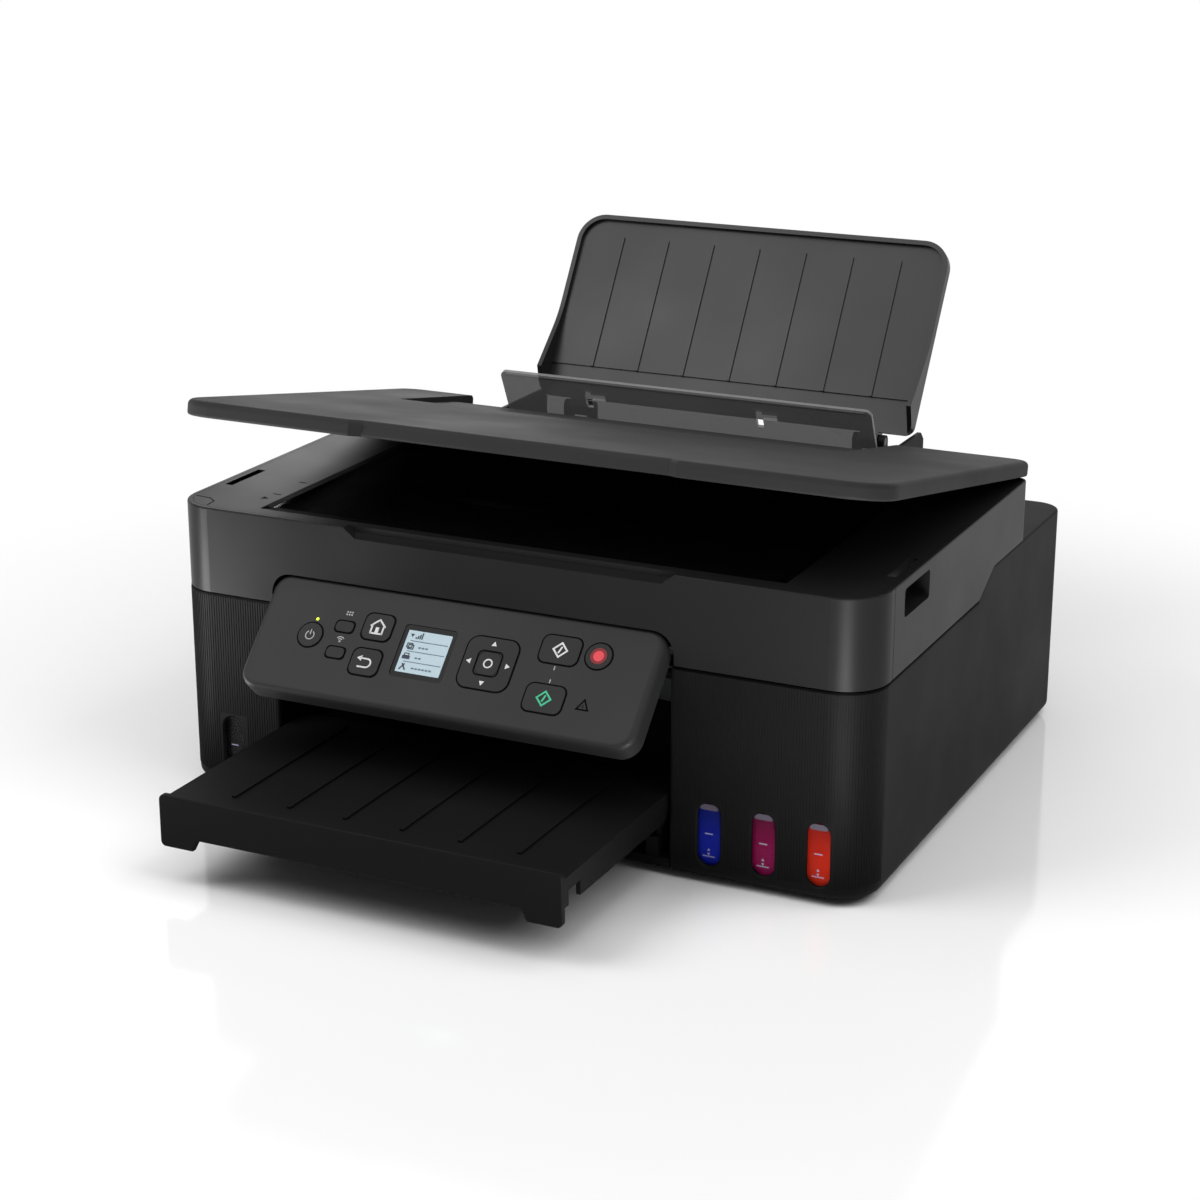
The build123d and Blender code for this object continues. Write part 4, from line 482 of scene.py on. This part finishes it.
def buildFrontRibs():
    low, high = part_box("lower_housing")
    front = low[1] / mm
    arcCentre = high[0] / mm - ribSizes["cornerRadius"]
    bm = bmesh.new()
    for start, end in ((-arcCentre, ribSizes["mouthLeft"] - ribSizes["mouthEdge"]),
                       (ribSizes["mouthRight"] + ribSizes["mouthEdge"], arcCentre)):
        count = int((end - start) / ribSizes["pitch"])
        for number in range(count + 1):
            x = start + number * ribSizes["pitch"]
            addRib(bm, x, front, 0, ribFoot(x))
    stepAngle = math.degrees(ribSizes["pitch"] / ribSizes["cornerRadius"])
    for sign in (-1, 1):
        for number in range(1, int(90 / stepAngle)):
            angle = math.radians(number * stepAngle)
            x = sign * (arcCentre + ribSizes["cornerRadius"] * math.sin(angle))
            y = front + ribSizes["cornerRadius"] * (1 - math.cos(angle))
            addRib(bm, x, y, sign * number * stepAngle, ribFoot(x))
    finishPiece("frontRibs", bm, slotMaterials["housing_black"], "base", Matrix.Scale(mm, 4))


buildFrontRibs()
print("front ribs")


# Seam: a painted shade strip round the lower housing's top edge, standing in for the shadow in the seam gap, on
# both front columns and as far as the step
seamShadeStrip = {"high": 118.0, "tall": 1.2, "proud": 0.12, "depth": 0.5, "run": 200.0, "rear": 3.0,
             "mouthEdge": 2.0, "cornerSegments": 24}


def buildSeamShadeStrip():
    low, high = plainBox("lower_housing", stillTurn)
    proud = seamShadeStrip["proud"]
    start = ribSizes["mouthLeft"] - seamShadeStrip["mouthEdge"]
    end = ribSizes["mouthRight"] + seamShadeStrip["mouthEdge"]
    bm = bmesh.new()
    width = (high.x - low.x) / mm + 2 * proud
    face = roundFace(bm, width, seamShadeStrip["run"], ribSizes["cornerRadius"] + proud, seamShadeStrip["cornerSegments"])
    ring = hollowFace(bm, face, seamShadeStrip["depth"])
    raised = vertsOf(bmesh.ops.extrude_face_region(bm, geom=ring)["geom"])
    bmesh.ops.translate(bm, verts=raised, vec=(0, 0, seamShadeStrip["tall"]))
    bmesh.ops.translate(bm, verts=bm.verts, vec=(0, low.y / mm - proud + seamShadeStrip["run"] / 2,
                                                 seamShadeStrip["high"] - seamShadeStrip["tall"]))
    for place, along, cut in (((0, seamShadeStrip["rear"], 0), (0, 1, 0), True), ((start, 0, 0), (1, 0, 0), False),
                              ((end, 0, 0), (1, 0, 0), False)):
        bmesh.ops.bisect_plane(bm, geom=bm.verts[:] + bm.edges[:] + bm.faces[:], plane_co=place, plane_no=along,
                               clear_outer=cut)
    mouth = [face for face in bm.faces if start < face.calc_center_median().x < end]
    bmesh.ops.delete(bm, geom=mouth, context="FACES")
    bmesh.ops.holes_fill(bm, edges=[edge for edge in bm.edges if edge.is_boundary], sides=4)
    finishPiece("seamShadeStrip", bm, nearBlackPrintAndShade, "base", Matrix.Scale(mm, 4))


buildSeamShadeStrip()
print("seam strip")


# Ink windows: level signs printed on each lens, and a painted reflection band near the top of each coloured lens
levelSigns = {"middle": 28.0, "reflectionHigh": 15.4, "reflectionTall": 3.2, "reflectionWide": 10.2, "dash": 4.4, "dashLow": 0.5,
              "stroke": 0.55, "pointer": 0.9, "pointerLow": -8.6, "pointerGap": 2.2, "rowLow": -12.2,
              "rowDash": 1.1, "rowPitch": 1.4, "reflectionCorner": 1.4}
lensInk = printInk("lensPrint", "#9a9ab4")
# painted reflection colour for the band near the top of each lens
lensReflectionInk = printInk("paintedLensReflection", "#4a4450")


def buildLevelSigns():
    front = plainBox("ink_windows", stillTurn)[0].y
    bm = bmesh.new()
    # painted reflection: a grey band standing in for the lens's gloss near its top
    reflectionBands = bmesh.new()
    for ink, middle in windowMiddles.items():
        if ink != "black":  # the black window gets no painted reflection band
            addPlate(reflectionBands, middle, levelSigns["reflectionHigh"], levelSigns["reflectionWide"], levelSigns["reflectionTall"],
                     levelSigns["reflectionCorner"])
        addBar(bm, middle, levelSigns["dashLow"], levelSigns["dash"], levelSigns["stroke"])
        addPolygon(bm, middle, levelSigns["pointerLow"], levelSigns["pointer"], 3, 0)
        addPolygon(bm, middle, levelSigns["pointerLow"] - levelSigns["pointerGap"], levelSigns["pointer"], 3,
                   180)
        for number in (-2, -1, 0, 1, 2):
            addBar(bm, middle + number * levelSigns["rowPitch"], levelSigns["rowLow"], levelSigns["rowDash"],
                   levelSigns["stroke"])
    place = frontPlace(stillTurn, Vector((0, front, levelSigns["middle"] * mm)))
    finishPiece("levelSigns", bm, lensInk, "base", place)
    finishPiece("paintedLensReflections", reflectionBands, lensReflectionInk, "base", place)


buildLevelSigns()
print("ink window signs")


# Control panel: painted shade frames in the gaps round the keys, signs on the keys and on the panel face
keyCorners = {"power_key": 7.0, "code_key": 1.6, "connect_key": 1.6, "home_key": 3.4, "back_key": 3.4,
              "arrow_key": 6.0, "start_black_key": 3.8, "start_colour_key": 3.8, "stop_key": 7.2}
panelSizes = {"keyFlange": 1.0, "keyProud": 0.5, "gapShadeWidth": 0.95, "okGapShade": 0.8, "okCorner": 3.2,
              "okGap": 0.2, "roundest": 0.499}


powerMark = {"drop": -0.3, "radius": 2.5, "stroke": 0.62, "start": 120, "sweep": 300, "barUp": 1.6,
             "barTall": 3.0}
homeMark = {"roof": [(-4.3, 0.4), (0, 4.3), (4.3, 0.4)], "stroke": 0.95, "door": (0, -1.9, 2.0, 3.4),
            "walls": [(-3.5, 0.8), (-3.5, -3.9), (3.5, -3.9), (3.5, 0.8)]}
backMark = {"bend": (1.0, -0.6), "radius": 2.5, "stroke": 0.9, "tip": (-3.6, 1.9), "tipRadius": 1.9,
            "bars": ((-1.2, 1.9, 4.6), (-1.4, -3.1, 5.0))}
arrowMark = {"out": 11.2, "radius": 1.75}
okMark = {"radius": 2.7, "stroke": 0.75, "sides": 28}
startMark = {"radius": 4.7, "stroke": 0.95, "barTall": 4.0, "lean": -18}
stopMark = {"radius": 4.6, "stroke": 1.5, "heart": 3.0, "sides": 32}


def powerSign(bm):
    addArc(bm, 0, powerMark["drop"], powerMark["radius"], powerMark["stroke"], powerMark["start"],
           powerMark["sweep"])
    addBar(bm, 0, powerMark["barUp"], powerMark["stroke"], powerMark["barTall"])


def homeSign(bm):
    addStroke(bm, homeMark["roof"], homeMark["stroke"])
    addStroke(bm, homeMark["walls"], homeMark["stroke"])
    addBar(bm, *homeMark["door"])


def backSign(bm):
    addArc(bm, *backMark["bend"], backMark["radius"], backMark["stroke"], -90, 180)
    for x, y, length in backMark["bars"]:
        addBar(bm, x, y, length, backMark["stroke"])
    addPolygon(bm, *backMark["tip"], backMark["tipRadius"], 3, 90)


def arrowSign(bm):
    for turn in (0, 90, 180, 270):
        angle = math.radians(turn)
        addPolygon(bm, -arrowMark["out"] * math.sin(angle), arrowMark["out"] * math.cos(angle),
                   arrowMark["radius"], 3, turn)


def okSign(bm):
    addPolygon(bm, 0, 0, okMark["radius"], okMark["sides"], 0, okMark["stroke"])


def startSign(bm):
    addPolygon(bm, 0, 0, startMark["radius"], 4, 0, startMark["stroke"])
    addBar(bm, 0, 0, startMark["stroke"], startMark["barTall"], startMark["lean"])


def stopRing(bm):
    addPolygon(bm, 0, 0, stopMark["radius"], stopMark["sides"], 0, stopMark["stroke"])


def stopHeart(bm):
    addPolygon(bm, 0, 0, stopMark["heart"], stopMark["sides"])


keySigns = {"power_key": (("powerSign", powerSign, greyInk),),
            "home_key": (("homeSign", homeSign, whiteInk),),
            "back_key": (("backSign", backSign, whiteInk),),
            "arrow_key": (("arrowSigns", arrowSign, whiteInk),),
            "ok_key": (("okSign", okSign, whiteInk),),
            "start_black_key": (("startBlackSign", startSign, whiteInk),),
            "start_colour_key": (("startColourSign", startSign, greenInk),),
            "stop_key": (("stopRing", stopRing, deepRedInk), ("stopHeart", stopHeart, redInk))}


def buildKeySigns():
    for key, signs in keySigns.items():
        for name, draw, ink in signs:
            bm = bmesh.new()
            draw(bm)
            finishPiece(name, bm, ink, key, frontPlace(panelTurn, frontSpot(key, panelTurn)))


def panelSpot(key):
    spot = frontSpot(key, panelTurn)
    spot.y += panelSizes["keyProud"] * mm  # from the key's top down to the panel's face
    return spot


def buildKeyGapShades():
    # painted shade: a dark frame round each key where the gap between key and panel lies in shadow
    bm = bmesh.new()
    for key, corner in keyCorners.items():
        low, high = plainBox(key, panelTurn)
        spot = panelSpot(key)
        grown = 2 * (panelSizes["gapShadeWidth"] - panelSizes["keyFlange"])
        width = (high.x - low.x) / mm + grown
        height = (high.z - low.z) / mm + grown
        radius = min(corner + panelSizes["gapShadeWidth"], panelSizes["roundest"] * min(width, height))
        addFrame(bm, spot.x / mm, spot.z / mm, width, height, radius, panelSizes["gapShadeWidth"])
    face = Vector((0, panelSpot("power_key").y, 0))
    finishPiece("keyGapShades", bm, nearBlackPrintAndShade, "panel", frontPlace(panelTurn, face))
    # the same painted shade in the gap round the ok key
    bm = bmesh.new()
    low, high = plainBox("ok_key", panelTurn)
    side = (high.x - low.x) / mm + 2 * (panelSizes["okGapShade"] - panelSizes["keyFlange"])
    side += 2 * panelSizes["okGap"]  # clear of the key that moves through it
    addFrame(bm, 0, 0, side, side, panelSizes["okCorner"], panelSizes["okGapShade"])
    spot = frontSpot("ok_key", panelTurn)
    spot.y = frontSpot("arrow_key", panelTurn).y
    finishPiece("okGapShade", bm, nearBlackPrintAndShade, "arrow_key", frontPlace(panelTurn, spot))


ledSpot = {"right": 0.8, "up": 9.8, "radius": 0.95, "sides": 20}
codeDots = {"up": 7.4, "pitch": 1.5, "side": 0.9}
connectWave = {"up": 6.8, "dot": 0.6, "sides": 16, "radii": (1.5, 2.7), "stroke": 0.55, "start": 40,
               "sweep": 100}
startTicks = {"up": (-10.4, -18.0), "wide": 0.6, "tall": 2.2}
alertMark = {"right": 22.5, "up": -0.6, "radius": 4.6, "stroke": 0.85, "barWide": 0.5, "barTall": 1.5}


def finishPanelSign(name, bm, ink, key):
    finishPiece(name, bm, ink, "panel", frontPlace(panelTurn, panelSpot(key)))


def buildPanelSigns():
    bm = bmesh.new()
    addPolygon(bm, ledSpot["right"], ledSpot["up"], ledSpot["radius"], ledSpot["sides"])
    finishPanelSign("powerLed", bm, ledGlow, "power_key")
    bm = bmesh.new()  # a generic grid of dots over the code key
    for column in (-1, 0, 1):
        for row in (0, 1):
            addBar(bm, column * codeDots["pitch"], codeDots["up"] + row * codeDots["pitch"], codeDots["side"],
                   codeDots["side"])
    finishPanelSign("codeSign", bm, greyInk, "code_key")
    bm = bmesh.new()  # a generic wave over the connect key
    addPolygon(bm, 0, connectWave["up"], connectWave["dot"], connectWave["sides"])
    for radius in connectWave["radii"]:
        addArc(bm, 0, connectWave["up"], radius, connectWave["stroke"], connectWave["start"],
               connectWave["sweep"])
    finishPanelSign("connectSign", bm, greyInk, "connect_key")
    bm = bmesh.new()  # ticks that pair the two start keys
    for up in startTicks["up"]:
        addBar(bm, 0, up, startTicks["wide"], startTicks["tall"])
    finishPanelSign("startTicks", bm, greyInk, "start_black_key")
    bm = bmesh.new()
    addPolygon(bm, alertMark["right"], alertMark["up"], alertMark["radius"], 3, 0, alertMark["stroke"])
    addBar(bm, alertMark["right"], alertMark["up"], alertMark["barWide"], alertMark["barTall"])
    finishPanelSign("alertSign", bm, nearBlackPrintAndShade, "start_colour_key")


buildKeyGapShades()
buildKeySigns()
buildPanelSigns()
print("panel signs")


# Display: a lit screen with a status row and three plain rows of signs and dashes
screenSizes = {"width": 26.4, "height": 24.6, "corner": 0.4, "row": 6.1, "signLeft": -9.6, "layer": 0.1}
screenRules = {"right": 1.0, "shorter": 4.0, "stroke": 0.4}
signalBars = {"pointer": (-0.6, -2.7, 1.3), "left": 2.0, "pitch": 1.15, "wide": 0.75, "foot": -4.6,
              "least": 1.0, "rise": 0.9, "count": 4}
pageSign = {"places": ((-0.2, 0.3), (0.8, -0.5)), "size": (3.6, 3.0, 0.3, 0.6)}
printerSign = {"body": (0, -0.6, 4.6, 2.0, 0.4), "sheet": (0, 1.0, 3.2, 1.8, 0.2, 0.5)}
toolSign = {"places": ((-0.4, -35), (0.6, 35)), "wide": 0.8, "tall": 4.4}
screenDashes = {"counts": (3, 2, 6), "left": -3.5, "pitch": 2.1, "drop": 0.4, "wide": 1.5, "tall": 0.9}


def buildScreen():
    spot = frontSpot("display", panelTurn)
    bm = bmesh.new()
    addPlate(bm, 0, 0, screenSizes["width"], screenSizes["height"], screenSizes["corner"])
    finishPiece("screen", bm, screenPaper, "panel", frontPlace(panelTurn, spot))
    over = spot - Vector((0, screenSizes["layer"] * mm, 0))  # the next layer of print
    lines = bmesh.new()
    signs = bmesh.new()
    top = screenSizes["height"] / 2
    left = screenSizes["signLeft"]
    for number in range(1, 4):
        addBar(lines, screenRules["right"], top - number * screenSizes["row"],
               screenSizes["width"] - screenRules["shorter"], screenRules["stroke"])
    x, y, radius = signalBars["pointer"]
    addPolygon(signs, left + x, top + y, radius, 3, 180)
    for number in range(signalBars["count"]):
        tall = signalBars["least"] + signalBars["rise"] * number
        addBar(signs, left + signalBars["left"] + number * signalBars["pitch"],
               top + signalBars["foot"] + tall / 2, signalBars["wide"], tall)
    rows = [top - (number + 0.5) * screenSizes["row"] for number in (1, 2, 3)]
    for x, y in pageSign["places"]:
        addFrame(signs, left + x, rows[0] + y, *pageSign["size"])
    x, y, *size = printerSign["body"]
    addPlate(signs, left + x, rows[1] + y, *size)
    x, y, *size = printerSign["sheet"]
    addFrame(signs, left + x, rows[1] + y, *size)
    for x, lean in toolSign["places"]:
        addBar(signs, left + x, rows[2], toolSign["wide"], toolSign["tall"], lean)
    for row, count in zip(rows, screenDashes["counts"]):
        for number in range(count):
            addBar(lines, screenDashes["left"] + number * screenDashes["pitch"], row - screenDashes["drop"],
                   screenDashes["wide"], screenDashes["tall"])
    finishPiece("screenLines", lines, screenInk, "panel", frontPlace(panelTurn, over))
    finishPiece("screenSigns", signs, screenDark, "panel", frontPlace(panelTurn, over))


buildScreen()
print("display")


# Scanner top: a dark border round the edge of the glass, alignment signs, and a painted shade line along the snap
# seam at the left corner
glassBorderSizes = {"border": 5.0, "corner": 1.0, "edge": 0.4}
snapSeamShade = {"route": [(-203.0, -149.6), (-193.5, -150.6), (-188.0, -155.0), (-187.0, -163.0)], "stroke": 0.7}
alignSigns = {"pointer": (-166.0, -137.5), "pointerRadius": 2.6, "ticks": ((-163.5, -128.0), (-163.5, -101.0)),
              "tickWide": 5.0, "tickTall": 0.8}


def flatPlace(height):
    return Matrix.Translation((0, 0, height)) @ Matrix.Scale(mm, 4)


def buildScannerMarks():
    low, high = plainBox("platen_glass", stillTurn)
    size = (high - low) / mm
    middle = (high + low) / 2 / mm
    bm = bmesh.new()
    addFrame(bm, middle.x, middle.y, size.x - glassBorderSizes["edge"], size.y - glassBorderSizes["edge"],
             glassBorderSizes["corner"], glassBorderSizes["border"])
    finishPiece("glassBorder", bm, nearBlackPrintAndShade, "scanner", flatPlace(high.z))
    bm = bmesh.new()
    # painted shade: a dark line standing in for the shadow in the snap seam
    addStroke(bm, snapSeamShade["route"], snapSeamShade["stroke"])
    addPolygon(bm, *alignSigns["pointer"], alignSigns["pointerRadius"], 3, -90)
    for x, y in alignSigns["ticks"]:
        addBar(bm, x, y, alignSigns["tickWide"], alignSigns["tickTall"])
    top = plainBox("scanner_top", stillTurn)[1].z
    finishPiece("scannerSignsAndSeamShade", bm, nearBlackPrintAndShade, "scanner", flatPlace(top))


buildScannerMarks()
print("scanner print")


# Camera and light
studio = {"lens": 77.55, "sensor": 36, "distance": 1.533, "azimuth": 25.7, "elevation": 18.2,
          "aim": (-0.0235, 0.0, 0.0868), "lampAim": (0, 0, 0.1)}


def turned(azimuth, elevation):
    a = math.radians(azimuth)
    e = math.radians(elevation)
    return Vector((math.sin(a) * math.cos(e), -math.cos(a) * math.cos(e), math.sin(e)))


def addCamera():
    data = bpy.data.cameras.new("camera")
    data.lens = studio["lens"]
    data.sensor_width = studio["sensor"]
    camera = bpy.data.objects.new("camera", data)
    bpy.context.scene.collection.objects.link(camera)
    back = turned(studio["azimuth"], studio["elevation"])
    camera.location = Vector(studio["aim"]) + back * studio["distance"]
    camera.rotation_euler = back.to_track_quat("Z", "Y").to_euler()
    bpy.context.scene.camera = camera


# Softboxes: azimuth and elevation round the printer, distance, width and height in metres, power in watts
softboxes = {"topBox": (0, 80, 1.5, 1.4, 1.2, 10), "keyBox": (-42, 42, 1.3, 0.7, 0.7, 8),
             "backBox": (-152, 14, 1.3, 0.7, 0.3, 1.3), "floorFill": (85, 50, 1.5, 1.2, 1.2, 13)}
# Floor panels: middle in x and y, turn in degrees, length and width in metres, power in watts
floorPanels = {"leftPanel": (-0.43, -0.375, 42, 0.36, 0.1, 5),
               "cornerPanel": (0.31, -0.46, -68, 0.4, 0.12, 4)}
plainFill = ("floorFill",)  # lights the floor and walls but shows in no gloss


def addAreaLight(name, width, height, power):
    data = bpy.data.lights.new(name, "AREA")
    data.shape = "RECTANGLE"
    data.size = width
    data.size_y = height
    data.energy = power
    light = bpy.data.objects.new(name, data)
    bpy.context.scene.collection.objects.link(light)
    light.visible_camera = False
    return light


def addSoftbox(name, azimuth, elevation, distance, width, height, power):
    light = addAreaLight(name, width, height, power)
    back = turned(azimuth, elevation)
    light.location = Vector(studio["lampAim"]) + back * distance
    light.rotation_euler = back.to_track_quat("Z", "Y").to_euler()
    light.visible_glossy = name not in plainFill


def addFloorPanel(name, x, y, turn, length, width, power):
    light = addAreaLight(name, length, width, power)
    light.location = (x, y, floorSizes["panelHeight"])
    light.rotation_euler = (math.pi, 0, math.radians(turn))  # faces up


# Rays that show the white surround: straight to the camera, mirrored or through glass
def seenRays(tree):
    path = addNode(tree, "ShaderNodeLightPath")
    mirrored = addNode(tree, "ShaderNodeMath", {"operation": "MAXIMUM"}, i0=path.outputs["Is Camera Ray"],
                       i1=path.outputs["Is Glossy Ray"])
    return addNode(tree, "ShaderNodeMath", {"operation": "MAXIMUM"}, i0=mirrored.outputs[0],
                   i1=path.outputs["Is Transmission Ray"]).outputs[0]


def addWorld():
    world = bpy.data.worlds.new("studio")
    bpy.context.scene.world = world
    world.use_nodes = True
    tree = world.node_tree
    tree.nodes.clear()
    fill = addNode(tree, "ShaderNodeBackground", Color=hexColour("#8c8c8c"), Strength=0.6)
    white = addNode(tree, "ShaderNodeBackground", Color=(1, 1, 1, 1), Strength=1.0)
    mix = addNode(tree, "ShaderNodeMixShader", i0=seenRays(tree), i1=fill.outputs[0], i2=white.outputs[0])
    addNode(tree, "ShaderNodeOutputWorld", Surface=mix.outputs[0])


# Floor: a pale disc with a little polish, whose shadow fades to white away from the printer, in metres
floorSizes = {"radius": 6.0, "panelHeight": 0.012, "shadowFrom": 0.32, "shadowTo": 0.66, "polish": 0.13,
              "polishRoughness": 0.09}


def addFloor():
    bm = bmesh.new()
    bmesh.ops.create_circle(bm, cap_ends=True, segments=64, radius=floorSizes["radius"])
    floor = makeObject("floor", bm)
    material = bpy.data.materials.new("whiteSweep")
    material.use_nodes = True
    tree = material.node_tree
    tree.nodes.clear()
    place = addNode(tree, "ShaderNodeTexCoord").outputs["Object"]
    far = addNode(tree, "ShaderNodeVectorMath", {"operation": "LENGTH"}, i0=place)
    fade = addNode(tree, "ShaderNodeMapRange", {"interpolation_type": "SMOOTHSTEP"}, Value=far.outputs["Value"],
                   i1=floorSizes["shadowFrom"], i2=floorSizes["shadowTo"])
    matt = addNode(tree, "ShaderNodeBsdfDiffuse", Color=hexColour("#f4f4f4"))
    shine = addNode(tree, "ShaderNodeBsdfGlossy", Color=(1, 1, 1, 1), Roughness=floorSizes["polishRoughness"])
    polished = addNode(tree, "ShaderNodeMixShader", i0=floorSizes["polish"], i1=matt.outputs[0],
                       i2=shine.outputs[0])
    white = addNode(tree, "ShaderNodeEmission", Color=(1, 1, 1, 1), Strength=1.0)
    sweep = addNode(tree, "ShaderNodeMixShader", i0=fade.outputs[0], i1=polished.outputs[0],
                    i2=white.outputs[0])
    seen = addNode(tree, "ShaderNodeMixShader", i0=seenRays(tree), i1=matt.outputs[0], i2=sweep.outputs[0])
    addNode(tree, "ShaderNodeOutputMaterial", Surface=seen.outputs[0])
    floor.data.materials.append(material)


addCamera()
addWorld()
addFloor()
for boxName, values in softboxes.items():
    addSoftbox(boxName, *values)
for panelName, values in floorPanels.items():
    addFloorPanel(panelName, *values)
bpy.context.scene.view_settings.view_transform = "Standard"
print("camera and light set")
